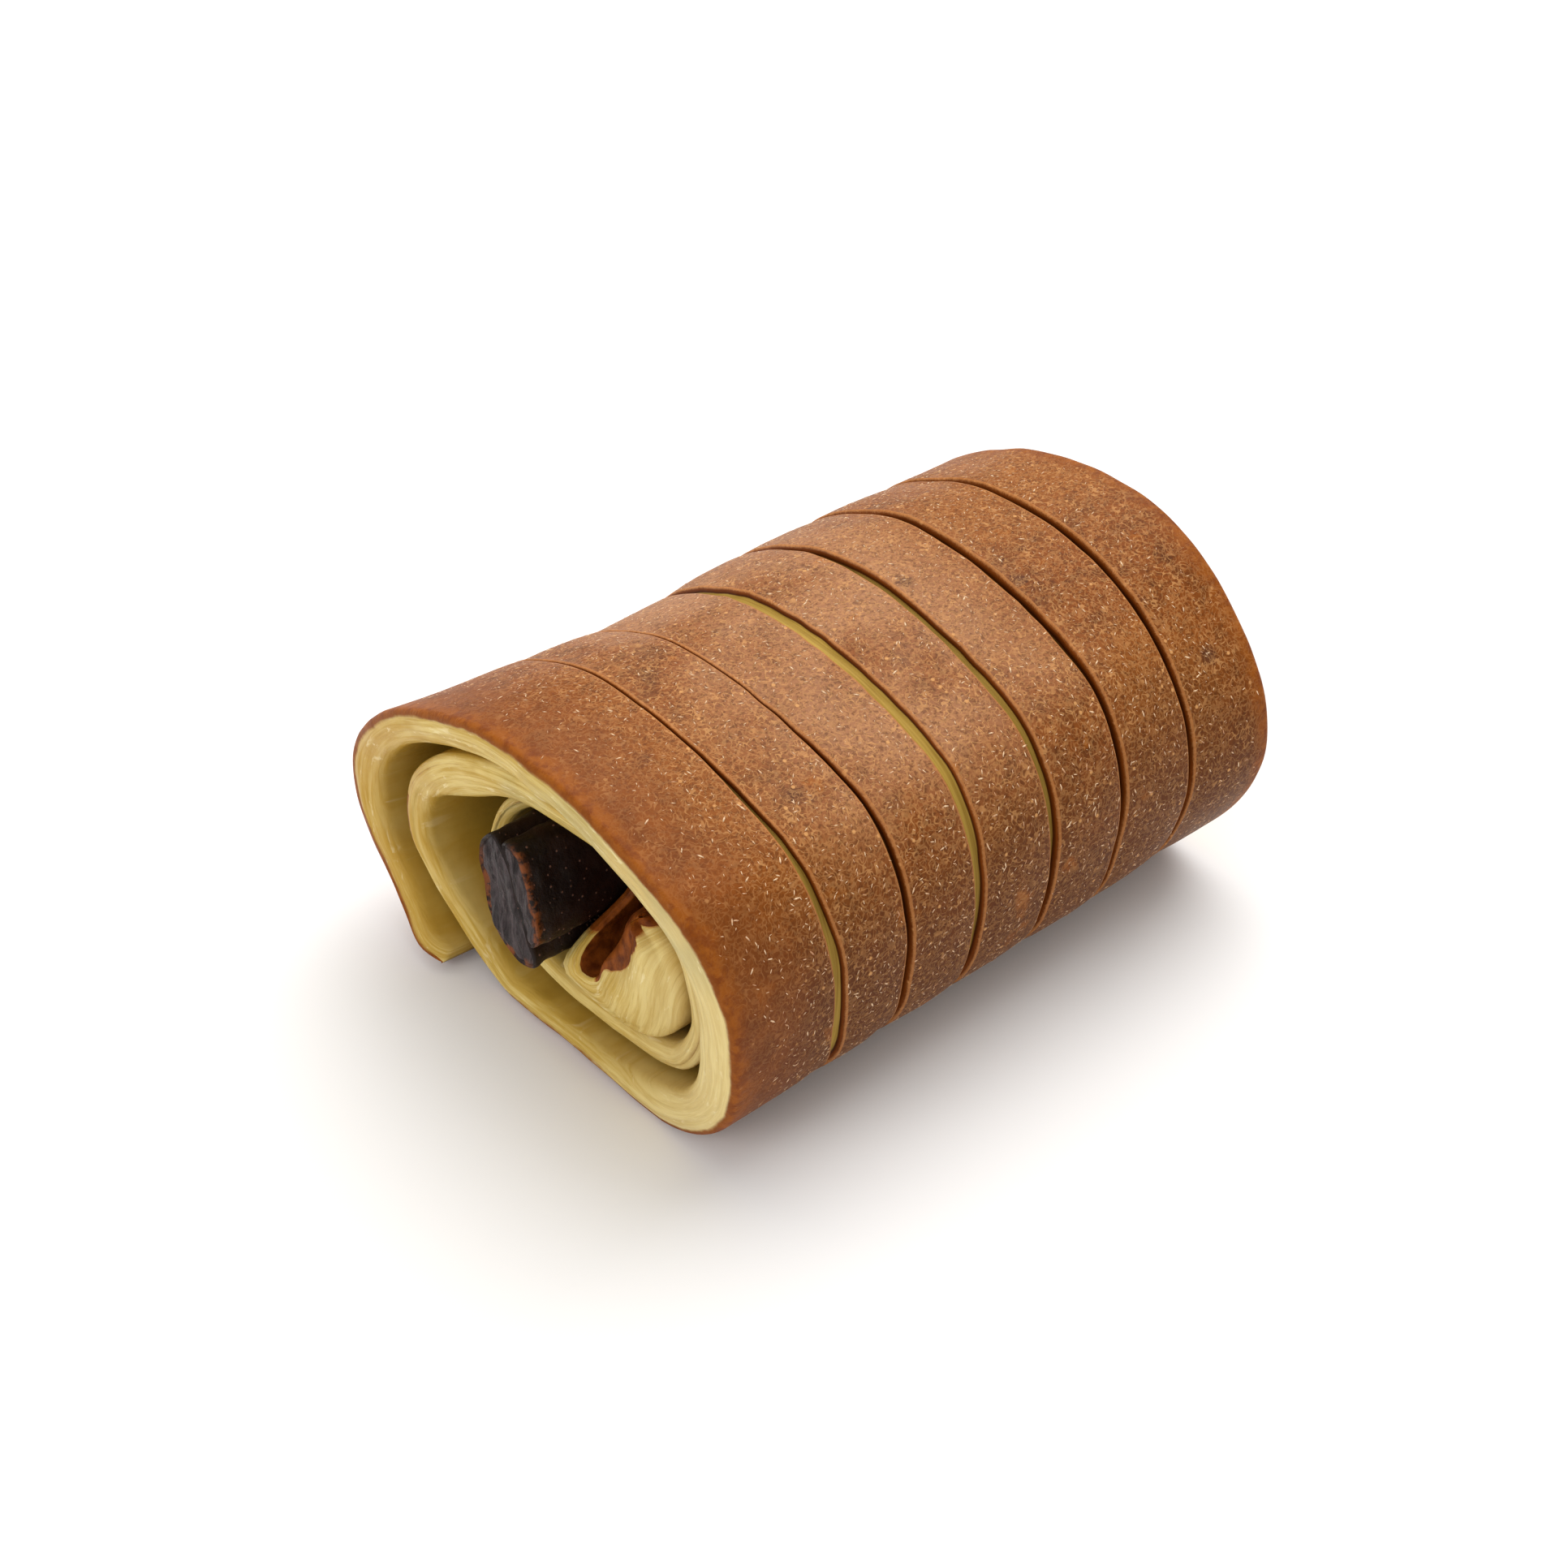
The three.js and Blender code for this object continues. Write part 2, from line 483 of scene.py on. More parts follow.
# --- Finishes -------------------------------------------------------------------------------------
@dataclass(frozen=True)
class BakedDough:
    """The crust, the pale cut ends and the golden walls between the wraps."""

    crust: str = "83440F"
    # Deep crust tone for the mottling; it also paints shade on the low -y side of the crust.
    crust_deep_and_shade: str = "5A2C04"
    crust_pale: str = "8E5019"
    rim: str = "9A5412"
    ember: str = "A2590F"
    fleck: str = "DAA063"
    crumb: str = "BC9A45"
    crumb_light: str = "D8C078"
    # Olive for the darker lamina lines; it also paints shade deep in the hollows between the wraps.
    crumb_olive_and_shade: str = "94762A"
    wall: str = "AA8228"
    cut_wall: str = "6E3408"
    cut_floor: str = "A07E30"
    # Pale pinkish tone that paints the broad sheen on the top of the crust.
    bloom_and_painted_sheen: str = "B28260"
    grain: str = "4A2204"
    spot: str = "3A2018"
    # Cream that paints the lit -y side of the cut face.
    cream: str = "EAD9A4"
    # Golden tone that paints shade on the +y side of the cut face.
    painted_shade_gold: str = "B68A32"
    # Grey-green that paints shade on the upper -y part of the cut face.
    painted_grey_shade: str = "A29A6E"
    streak: str = "EFE0B0"
    glaze_deep: str = "6E360F"
    glaze: str = "8A4A1A"
    rim_deep: str = "7A3A0C"
    brink: str = "7E4410"
    # Dark browned tone for real browning; it also paints shade on the sheet beside the stick.
    toast_deep: str = "4E1E08"
    toast: str = "8E4A18"
    cut_glow: str = "8A4510"
    # Near-black brown that paints shade deep in the knife cuts.
    painted_cut_shade: str = "3A1802"
    cut_pale: str = "BC9A46"
    # Light tan that paints the highlight on the lips of the knife cuts.
    cut_lip_highlight: str = "BA7A44"
    roughness: float = 0.5

    def crust_colour(self, mix: Recipe, x: Val, y: Val, z: Val) -> tuple[bpy.types.NodeSocket, Val, Val]:
        """The baked skin's colour.

        Args:
            mix: The recipe.
            x: Place along the roll.
            y: Place across it.
            z: Height.

        Returns:
            The colour, the fine curls and the pale dots.
        """
        clouds = mix.noise(46, 3, 0.55)
        mottle = mix.noise(230, 4, 0.6)
        grain = mix.noise(1500, 2, 0.6)
        curl_a = (mix.noise(880, 1.0, 0.5, 0.5) - 0.5).size().ramp(0.06, 0.02)
        squashed = mix.stretch(mix.place, (1, 1.1, 0.9))
        curl_b = (mix.noise(1350, 0.5, 0.5, 0.4, squashed) - 0.5).size().ramp(0.07, 0.02)
        keep = mix.noise(420, 3, 0.6, 0, mix.stretch(mix.place, (1.1, 0.9, 1))).ramp(0.4, 0.66)
        curls = (curl_a * (keep * 0.7 + 0.3)).most(curl_b * (1 - keep * 0.6) * 0.6)
        far, pick = mix.dots(620)
        dots = far.ramp(0.24, 0.12) * pick.ramp(0.80, 0.86)
        # Painted shade: the crust is darkened towards -y and towards the floor, the sides that get less
        # light.
        low_side_painted_shade = (y * -22.0 - z * 26.0 + 0.55 + (clouds - 0.5) * 0.8).ramp(0.0, 1.0)
        base = mix.blend(mottle.ramp(0.24, 0.58), self.crust_deep_and_shade, self.crust)
        base = mix.blend(clouds.ramp(0.38, 0.66) * 0.75, base, self.crust_pale)
        # Painted sheen: the top of the roll near its middle is paled where the broad highlight falls.
        bloom_and_painted_sheen = z.ramp(0.036, 0.053) * (x + 0.003).size().ramp(0.036, 0.010) * clouds.ramp(0.25, 0.6)
        base = mix.blend(bloom_and_painted_sheen * 0.6, base, self.bloom_and_painted_sheen)
        # Lays the painted shade on with the deep crust tone.
        base = mix.blend(low_side_painted_shade, base, self.crust_deep_and_shade)
        warm = mix.noise(160, 2, 0.5, 0, mix.stretch(mix.place, (1, 1.4, 0.8))).ramp(0.66, 0.76)
        base = mix.blend(warm * 0.5, base, self.ember)
        base = mix.blend(grain.ramp(0.54, 0.34) * 0.5, base, self.grain)
        spots, some = mix.dots(150)
        base = mix.blend(spots.ramp(0.34, 0.1) * some.ramp(0.93, 0.95) * 0.6, base, self.spot)
        # The pale flecks are dimmed inside the painted shade.
        base = mix.blend(curls * (0.5 - low_side_painted_shade * 0.16), base, self.fleck)
        base = mix.blend(dots * 0.75, base, self.fleck)
        return base, curls, dots

    def crumb_colour(
        self, mix: Recipe, lines: Val, cream: Val, side: Val, depth: Val
    ) -> bpy.types.NodeSocket:
        """The pale inside's colour.

        Args:
            mix: The recipe.
            lines: Fine lines along the layers.
            cream: Short paler streaks.
            side: 0 on a cut end, 1 on a wall.
            depth: How far in from the end, in metres.

        Returns:
            The colour.
        """
        soft = mix.noise(110, 3, 0.5)
        face = mix.blend(lines.ramp(0.40, 0.62), self.crumb, self.crumb_light)
        face = mix.blend(lines.ramp(0.42, 0.30) * 0.5, face, self.crumb_olive_and_shade)
        face = mix.blend(soft.ramp(0.55, 0.72) * 0.4, face, self.wall)
        _, y, z = mix.split(mix.place)
        # Painted light and shade: the cut face is painted lighter cream towards -y, where it is lit, and
        # darker golden towards +y, where it lies in shade.
        face = mix.blend((y * -1.0 + (soft - 0.5) * 0.02).ramp(0.008, 0.036) * 0.42, face, self.cream)
        face = mix.blend(y.ramp(0.012, 0.036) * 0.5, face, self.painted_shade_gold)
        # Painted shade: the upper -y part of the cut face, between the wraps, is tinted grey-green.
        painted_grey_shade = (mix.noise(60, 2, 0.5) + (y * -6.0) - z * 3.0).ramp(0.34, 0.5) * z.ramp(0.034, 0.042)
        face = mix.blend(painted_grey_shade * 0.35, face, self.painted_grey_shade)
        face = mix.blend(cream * mix.sum("SUBTRACT", 0.45, side * 0.4), face, self.streak)
        smear = mix.noise(300, 3, 0.6, 0.3, mix.stretch(mix.place, (0.35, 1, 1))).ramp(0.35, 0.7)
        wall = mix.blend(smear * 0.5, self.wall, self.crumb)
        # Painted shade: the walls turn darker olive the further they lie in from the cut ends.
        wall = mix.blend(depth.ramp(0.001, 0.011) * 0.9, wall, self.crumb_olive_and_shade)
        return mix.blend(side, face, wall)

    def build(self) -> bpy.types.Material:
        """Makes the material.

        Returns:
            The material.
        """
        mix = Recipe("baked_dough")
        x, y, z = mix.split(mix.place)
        layer = mix.read_vector("layer")
        edge, cut, floor, toast = mix.read("edge"), mix.read("cut"), mix.read("floor"), mix.read("toast")
        wall, depth = mix.read("wall"), mix.read("depth")
        crust, curls, dots = self.crust_colour(mix, x, y, z)
        lines = mix.noise(1.0, 4, 0.6, 0.5, mix.stretch(layer, (110, 2000, 30)))
        broad = mix.noise(1.0, 3, 0.6, 0.4, mix.stretch(layer, (55, 560, 20)))
        cream = mix.noise(1.0, 3, 0.6, 0.6, mix.stretch(layer, (260, 1000, 30))).ramp(0.60, 0.70)
        crumb = self.crumb_colour(mix, lines * 0.55 + broad * 0.45, cream, wall, depth)
        fray = (mix.noise(330, 4, 0.6) - 0.5) * 2.2 + (mix.noise(95, 2, 0.5) - 0.5) * 2.0
        # The mark is real browning in most places and painted shade on the sheet beside the stick.
        torn = toast + (mix.noise(620, 4, 0.65) - 0.5) * 0.25
        toast = torn.ramp(0.48, 0.6)
        crumb = mix.blend(torn.ramp(0.3, 0.5) * 0.6, crumb, self.ember)
        baked = (edge + fray * 0.4).ramp(-0.5, 0.25).most(toast)
        rim = (edge + fray * 1.5).ramp(4.5, 0.4)
        smooth = (edge + fray * 3.0).ramp(19.0, 6.0) * x.ramp(0.01, -0.01)
        red = mix.blend(mix.noise(200, 4, 0.6).ramp(0.35, 0.7), self.glaze_deep, self.glaze)
        crust = mix.blend(smooth * 0.55, crust, red)
        rim_tone = mix.blend(mix.noise(520, 3, 0.6).ramp(0.4, 0.65), self.rim, self.rim_deep)
        crust = mix.blend(rim * 0.8, crust, rim_tone)
        brink = (edge + fray * 0.5).size().ramp(1.1, 0.2)
        crust = mix.blend(brink * 0.6, crust, self.brink)
        # Browned colour for real browned surfaces, and painted shade where the core shade is marked.
        toasted = mix.blend(mix.noise(420, 3, 0.6).ramp(0.3, 0.7), self.toast_deep, self.toast)
        crust = mix.blend(toast * 0.85, crust, toasted)
        stripes = mix.noise(1.0, 3, 0.6, 0, mix.stretch(layer, (60, 900, 2200)))
        dark = mix.blend(stripes.ramp(0.3, 0.7), self.cut_wall, self.cut_glow)
        # Painted shade: the deepest middle of each knife cut is darkened.
        dark = mix.blend(cut.ramp(0.32, 0.7) * 0.85, dark, self.painted_cut_shade)
        pale = mix.blend(stripes.ramp(0.3, 0.7), self.cut_floor, self.cut_pale)
        bottom = mix.blend(floor * (stripes * 0.3 + 0.85), dark, pale)
        # Painted highlight: a light tan line along both lips of each knife cut.
        lip = cut.ramp(0.03, 0.12) * cut.ramp(0.36, 0.22)
        crust = mix.blend(lip * 0.6, crust, self.cut_lip_highlight)
        crust = mix.blend(cut.ramp(0.25, 0.42), crust, dark)
        crust = mix.blend(cut.ramp(0.72, 0.9), crust, bottom)
        colour = mix.blend(baked, crumb, crust)
        skin = baked * cut.ramp(0.3, 0.1)
        height = curls * 0.35 + dots * 0.5 + mix.noise(800, 3, 0.6) * 0.5
        normal = mix.relief(mix.noise(260, 3, 0.5), 0.00012)
        normal = mix.relief(height * skin * mix.sum("SUBTRACT", 1.0, smooth * 0.5), 0.00009, normal)
        normal = mix.relief((lines * 0.6 + broad * 0.4) * mix.sum("SUBTRACT", 1.0, baked), 0.00022, normal)
        gloss = mix.noise(1300, 3, 0.6)
        rough = (gloss - 0.5) * 0.25 + self.roughness
        rough = rough - mix.sum("SUBTRACT", 1.0, baked) * 0.16
        constants = {"Specular IOR Level": 0.1, "Subsurface Weight": 0.05}
        constants["Subsurface Radius"] = (0.004, 0.0025, 0.001)
        constants["Subsurface Scale"] = 0.5
        varying = {"Base Color": colour, "Roughness": rough, "Normal": normal}
        return mix.surface(constants, varying)


@dataclass(frozen=True)
class DarkChocolate:
    """Baked dark chocolate: dusty and specked on its sides, rough and greyer where it broke."""

    dark: str = "120805"
    brown: str = "27140D"
    rust: str = "8A4A20"
    # On the chocolate this is its own dull, paler streaking on the broken ends, with no painted light.
    bloom_and_painted_sheen: str = "4B3F40"
    speck: str = "8A6250"
    broken: str = "1F1616"
    roughness: float = 0.5

    def build(self) -> bpy.types.Material:
        """Makes the material.

        Returns:
            The material.
        """
        mix = Recipe("dark_chocolate")
        broken, rim = mix.read("broken"), mix.read("rim")
        cloud = mix.noise(170, 4, 0.6)
        grain = mix.noise(900, 3, 0.65)
        side = mix.blend(cloud.ramp(0.35, 0.7), self.dark, self.brown)
        far, pick = mix.dots(1300)
        specks = far.ramp(0.3, 0.15) * pick.ramp(0.72, 0.8)
        side = mix.blend(specks * 0.6, side, self.speck)
        drag = mix.noise(1.0, 4, 0.6, 0.5, mix.stretch(mix.place, (500, 1100, 160)))
        face = mix.blend(drag.ramp(0.35, 0.7), self.broken, self.bloom_and_painted_sheen)
        colour = mix.blend(broken, side, face)
        colour = mix.blend(rim * mix.noise(700, 3, 0.6).ramp(0.40, 0.6) * 0.75, colour, self.rust)
        normal = mix.relief(cloud * 0.5 + grain * 0.5, 0.00035)
        normal = mix.relief(drag * broken, 0.0005, normal)
        normal = mix.relief(specks, 0.00008, normal)
        rough = (grain - 0.5) * 0.3 + self.roughness
        constants = {"Specular IOR Level": 0.25}
        return mix.surface(constants, {"Base Color": colour, "Roughness": rough, "Normal": normal})


@dataclass(frozen=True)
class CrumbFleck:
    """The pale baked flecks that stand on the crust."""

    pale: str = "F2CFA6"
    tan: str = "C48E62"

    def build(self) -> bpy.types.Material:
        """Makes the material.

        Returns:
            The material.
        """
        mix = Recipe("crumb_fleck")
        tone = mix.noise(700, 1, 0.5).ramp(0.35, 0.65)
        varying = {"Base Color": mix.blend(tone, self.tan, self.pale)}
        return mix.surface({"Roughness": 0.4, "Specular IOR Level": 0.5}, varying)


# --- The dough ------------------------------------------------------------------------------------
@dataclass
class KnifeCut:
    """One cut across the top of the roll.

    Sizes are in millimetres. The lists run along the cut from the flap's side, over the top and
    down the far side.
    """

    middle: float
    yaw: float
    lean: float
    widths: tuple[float, ...]
    depths: tuple[float, ...]
    pale: tuple[float, ...]
    first: float = 4.3
    last: float = 15.6

    def along(self, stations: np.ndarray, sizes: tuple[float, ...]) -> np.ndarray:
        """A size read along the cut.

        Args:
            stations: Places along the sheet.
            sizes: One of the lists.

        Returns:
            The size at each.
        """
        place = (stations - self.first) / (self.last - self.first) * (len(sizes) - 1)
        return np.interp(place, np.arange(len(sizes)), sizes)

    def centre(self, y: np.ndarray, z: np.ndarray, wobble: np.ndarray) -> np.ndarray:
        """X of the cut where the crust is at y, z."""
        return self.middle + self.yaw * y + self.lean * (z - 26.65) + wobble

    def present(self, stations: np.ndarray) -> np.ndarray:
        """1 along the cut, fading to 0 at both its ends."""
        begun = ease(self.first - 0.5, self.first + 0.8, stations)
        return begun * (1 - ease(self.last - 0.9, self.last, stations))


@dataclass
class DoughRoll:
    """The rolled sheet: its wraps, its thick inner curl and its knife cuts. Millimetres.

    A wrap's station is y, z, thickness and how far its cut end sits back. A curl's is y, z of one
    side, y, z of the other, and the same setback. The far end is drawn in by far_in, one number for
    each station from far_first. The waist is depth, x and reach; the crest and the flap's swell are
    height, station and reach. The edge mark is the distance in from a cut end, or uncrusted inside.
    """

    front: float = -54.57
    back: float = 50.4
    height: float = 55.5
    far_side: float = 39.29
    middle_z: float = 26.65
    front_yaw: float = -0.037
    front_lean: float = -0.066
    back_lean: float = 0.07
    back_setback: float = 0.55
    bulge: float = 0.17
    bulge_from: float = 15.0
    bulge_reach: float = 20.0
    lip: float = 1.5
    flap_corner: float = 1.5
    outer_step: float = 1.0
    inner_step: float = 1.35
    last_outer: float = 19.5
    pillow: float = 0.45
    uncrusted: float = -6.0
    waist: tuple[float, float, float] = (1.2, -17, 15)
    crest: tuple[float, float, float] = (0.5, 6.8, 1.3)
    flap_swell: tuple[float, float, float] = (0.9, 4.6, 1.8)
    far_first: float = 5.0
    far_in: tuple[float, ...] = (0, 0.5, 1.0, 1.2, 0.7, -1.0, -0.5, 2.4, 0.3, -1.2, 0.5, 0.6, 0, 0)
    wraps: tuple[tuple[float, float, float, float], ...] = (
        (24.3, 1.7, 4.4, -5.0), (29.4, 5.6, 4.8, -4.2), (35.0, 11.5, 5.0, -2.8), (40.6, 14.9, 5.2, -1.2),
        (44.1, 20.0, 5.2, 0), (42.8, 27.6, 5.2, 0), (38.9, 34.2, 5.4, 0), (31.6, 41.6, 5.8, 0),
        (21.0, 47.7, 6.0, 0), (8.0, 52.0, 6.2, 0), (-7.4, 51.9, 6.2, 0), (-18.8, 48.9, 6.8, 0),
        (-29.2, 44.0, 7.4, 0), (-34.2, 35.4, 7.8, 0), (-35.1, 25.0, 8.2, 0), (-32.6, 13.6, 8.0, 0),
        (-25.0, 4.9, 6.8, 0), (-12.6, 1.6, 5.4, 0), (4.0, 1.5, 5.4, 0), (16.0, 3.3, 4.6, 0),
        (24.2, 10.4, 4.2, 0), (30.0, 17.8, 4.0, 0), (31.5, 25.0, 4.0, 0), (27.6, 33.2, 5.0, 0.2),
        (18.6, 40.2, 7.4, 0.8), (7.0, 45.2, 5.8, 1.6), (-8.0, 44.9, 5.2, 3.0), (-18.2, 40.6, 4.6, 3.8),
        (-24.8, 31.8, 4.2, 4.0), (-26.4, 20.6, 4.2, 3.6), (-20.6, 10.5, 4.2, 3.5), (-8.2, 7.5, 4.0, 3.6),
        (4.4, 8.4, 4.0, 3.5), (13.6, 12.3, 3.4, 3.0), (17.2, 19.8, 2.6, 3.0), (16.2, 28.4, 2.6, 3.6),
        (13.2, 35.7, 2.6, 5.0), (6.4, 39.5, 2.6, 8.0), (-0.4, 38.4, 2.4, 13.0), (-2.2, 32.6, 2.4, 15.0),
        (-2.8, 26.2, 2.0, 13.0),
    )
    curl: tuple[tuple[float, float, float, float, float], ...] = (
        (-3.4, 21.3, -0.3, 19.8, 4.0), (-3.9, 18.3, 0.8, 15.4, 1.4), (-5.2, 16.8, -2.2, 12.1, 1.8),
        (-6.8, 17.8, -10.2, 10.4, 2.2), (-7.4, 20.0, -17.6, 12.4, 2.6), (-8.2, 22.8, -22.2, 18.2, 3.1),
        (-9.2, 26.4, -23.6, 25.0, 3.3), (-10.9, 30.6, -22.2, 31.6, 3.6), (-13.8, 34.4, -18.6, 35.6, 4.2),
    )
    cuts: tuple[KnifeCut, ...] = (
        KnifeCut(-35.0, -0.022, -0.058, (0.4, 0.25, 0.25, 0.4, 1.2, 1.7, 1.3),
                 (1.2, 1.0, 1.1, 1.3, 1.1, 1.0, 1.2), (0, 0, 0, 0.1, 0.9, 1, 1)),
        KnifeCut(-22.6, -0.029, -0.011, (0.6, 0.8, 0.25, 0.2, 0.7, 1.0, 0.9),
                 (1.2, 1.2, 0.9, 1.0, 1.6, 1.8, 1.6), (0, 0.5, 0, 0, 0.1, 0.1, 0)),
        KnifeCut(-8.4, -0.005, 0.005, (0.5, 0.9, 1.9, 2.3, 2.0, 1.7, 1.4),
                 (1.3, 1.1, 0.9, 0.85, 0.9, 1.1, 1.4), (0, 0.3, 0.9, 1, 1, 0.9, 0.6)),
        KnifeCut(6.2, -0.001, 0.025, (0.5, 0.8, 1.0, 1.3, 1.5, 1.3, 1.0),
                 (1.3, 1.4, 1.3, 1.2, 1.2, 1.4, 1.6), (0, 0, 0.3, 0.8, 1.0, 0.8, 0.2)),
        KnifeCut(20.3, 0.01, 0.049, (0.5, 0.8, 1.0, 1.1, 1.1, 1.0, 0.9),
                 (1.3, 1.5, 1.7, 1.8, 1.8, 1.9, 1.6), (0, 0, 0.1, 0.3, 0.1, 0, 0)),
        KnifeCut(35.0, 0.027, 0.069, (0.6, 0.8, 0.9, 1.0, 1.0, 1.0, 0.8),
                 (1.3, 1.5, 1.7, 1.8, 1.8, 1.8, 1.6), (0, 0, 0, 0.1, 0, 0, 0)),
    )
    rough: Unevenness = field(default_factory=lambda: Unevenness(11))

    def pairs(self) -> np.ndarray:
        """The sheet's two sides at each station.

        Returns:
            Rows of outer y, outer z, inner y, inner z and setback.
        """
        line = np.array(self.wraps, float)
        ends = np.vstack([line[:1], line, line[-1:]])
        way = ends[2:, :2] - ends[:-2, :2]
        way /= np.linalg.norm(way, axis=1)[:, None]
        out = np.stack([way[:, 1], -way[:, 0]], 1) * line[:, 2:3] / 2
        sides = np.hstack([line[:, :2] + out, line[:, :2] - out, line[:, 3:]])
        return np.vstack([sides, np.array(self.curl, float)])

    def sections(self) -> dict[str, np.ndarray]:
        """The sheet sampled along its length.

        Returns:
            Station, arc length, outer and inner side, setback and thickness at each sample.
        """
        sides = self.pairs()
        dense = np.linspace(0, len(sides) - 1, 4000)
        at = through_points(sides, dense)
        mid = (at[:, :2] + at[:, 2:4]) / 2
        arc = np.concatenate([[0], np.cumsum(np.linalg.norm(np.diff(mid, axis=0), axis=1))])
        turn = np.interp(self.last_outer, dense, arc)
        coarse = 1.0 if FINE else 2.2
        first = np.linspace(0, turn, int(turn / (self.outer_step * coarse)))
        rest = np.linspace(turn, arc[-1], int((arc[-1] - turn) / (self.inner_step * coarse)))[1:]
        ends = np.array([0.25, 0.6]), arc[-1] - np.array([1.2, 0.7, 0.3])
        s = np.unique(np.concatenate([first, rest, ends[0], ends[1]]))
        stations = np.interp(s, arc, dense)
        at = through_points(sides, stations)
        outer, inner = at[:, :2].copy(), at[:, 2:4].copy()
        outer[:, 1] = np.maximum(outer[:, 1], 0)
        close = 1 - (1 - np.clip(np.minimum(s, (arc[-1] - s) / 3) / 1.5, 0.02, 1)) ** 2
        centre = (outer + inner) / 2
        outer = centre + (outer - centre) * np.sqrt(close)[:, None]
        inner = centre + (inner - centre) * np.sqrt(close)[:, None]
        thick = np.linalg.norm(inner - outer, axis=1)
        setback = at[:, 4] + self.flap_corner * np.exp(-((s / 2.4) ** 2))
        return {"t": stations, "s": s, "outer": outer, "inner": inner, "set": setback, "thick": thick}

    def end_x(
        self, y: np.ndarray, z: np.ndarray, setback: np.ndarray, s: np.ndarray, near: bool
    ) -> np.ndarray:
        """X of a cut end.

        Args:
            y: Place across.
            z: Height.
            setback: How far that part sits back.
            s: Arc length, for its unevenness.
            near: True for the front end.

        Returns:
            X.
        """
        uneven = 0.35 * self.rough.at(s / 13, 3.5) + 0.16 * self.rough.at(s / 4.2, 8.5)
        height = z - self.middle_z
        if near:
            return self.front + self.front_yaw * y + self.front_lean * height + setback + uneven
        return self.back + self.back_lean * height - self.back_setback * setback - uneven

    def columns(
        self, cut: dict[str, np.ndarray], start: np.ndarray, end: np.ndarray
    ) -> tuple[np.ndarray, ...]:
        """Where the crust's vertices go along the roll, and how deep each one is cut.

        Args:
            cut: The sheet's samples.
            start: X where the crust begins, past the front lip.
            end: X where it ends.

        Returns:
            X, depth, how far into a cut, and how pale its floor is, one row for each sample.
        """
        y, z, t = cut["outer"][:, 0], cut["outer"][:, 1], cut["t"]
        slot = np.array([-1.0, -1.0, -1.0, -0.93, -0.8, 0.0, 0.8, 0.95, 1.0, 1.0, 1.0])
        beyond = np.array([-0.55, -0.22, -0.05, 0, 0, 0, 0, 0, 0.05, 0.25, 0.6])
        sunk = np.array([0.0, 0.02, 0.18, 0.75, 1.0, 1.0, 1.0, 0.7, 0.12, -0.04, 0.0])
        into = np.array([0.0, 0.16, 0.3, 0.6, 0.95, 1.0, 0.95, 0.6, 0.3, 0.16, 0.0])
        xs, depths, marks, floors = [], [], [], []
        last = start
        for index, knife in enumerate(self.cuts):
            wobble = 0.28 * self.rough.at(cut["s"] / 11, 20.5 + index)
            wobble = wobble + 0.1 * self.rough.at(cut["s"] / 3.1, 40.5 + index)
            middle = knife.centre(y, z, wobble)
            here = knife.present(t)
            half = np.maximum(knife.along(t, knife.widths) * (0.25 + 0.75 * here), 0.16) / 2
            half = half * (1 + 0.16 * self.rough.at(cut["s"] / 2.6, 60.5 + index))
            x = middle[:, None] + half[:, None] * slot + beyond
            count = 9 if index == 0 else 7
            share = 0.5 - 0.5 * np.cos(np.pi * np.arange(0 if index == 0 else 1, count) / count)
            gap = last[:, None] + (x[:, :1] - last[:, None]) * share
            xs += [gap, x]
            depth = (knife.along(t, knife.depths) * here)[:, None] * sunk
            depths += [np.zeros_like(gap), depth]
            marks += [np.zeros_like(gap), here[:, None] * into]
            pale = (knife.along(t, knife.pale) * here)[:, None]
            floors += [np.zeros_like(gap), np.broadcast_to(pale, x.shape)]
            last = x[:, -1]
        share = 0.5 - 0.5 * np.cos(np.pi * np.arange(1, 12) / 11)
        gap = last[:, None] + (end - last)[:, None] * share
        xs.append(gap)
        for store in (depths, marks, floors):
            store.append(np.zeros_like(gap))
        return tuple(np.hstack(store) for store in (xs, depths, marks, floors))

    def swell(self, x: np.ndarray, t: np.ndarray, s: np.ndarray) -> np.ndarray:
        """How far the crust stands in from its plain section, which gives each band its soft pillow.

        Args:
            x: Place along the roll.
            t: Station.
            s: Arc length.

        Returns:
            Depth in millimetres.
        """
        top = (ease(3.0, 5.5, t) * (1 - ease(15.0, 17.5, t)))[:, None]
        near = sum(np.exp(-np.abs(x - knife.middle) / 2.6) for knife in self.cuts)
        lumps = 0.3 * self.rough.rough(x / 17, s[:, None] / 19, 2)
        lumps = lumps + 0.07 * self.rough.at(x / 3.3 + 50, s[:, None] / 3.7)
        depth, middle, reach = self.waist
        waist = depth * bell(x, middle, reach) * (ease(4.0, 6.5, t) * (1 - ease(9.0, 12.0, t)))[:, None]
        drawn_in = np.array(self.far_in)[:, None]
        shape = through_points(drawn_in, np.clip(t - self.far_first, 0, len(drawn_in) - 1))
        far = ease(18, 48, x) * shape
        out, middle, reach = self.crest
        far = far - out * ease(-36, -12, x) * bell(t, middle, reach)[:, None]
        out, middle, reach = self.flap_swell
        far = far - out * np.exp((self.front - x) / 12) * bell(t, middle, reach)[:, None]
        return top * (self.pillow * near + waist) + far + 0.05 + lumps * ease(0.5, 3, s)[:, None]

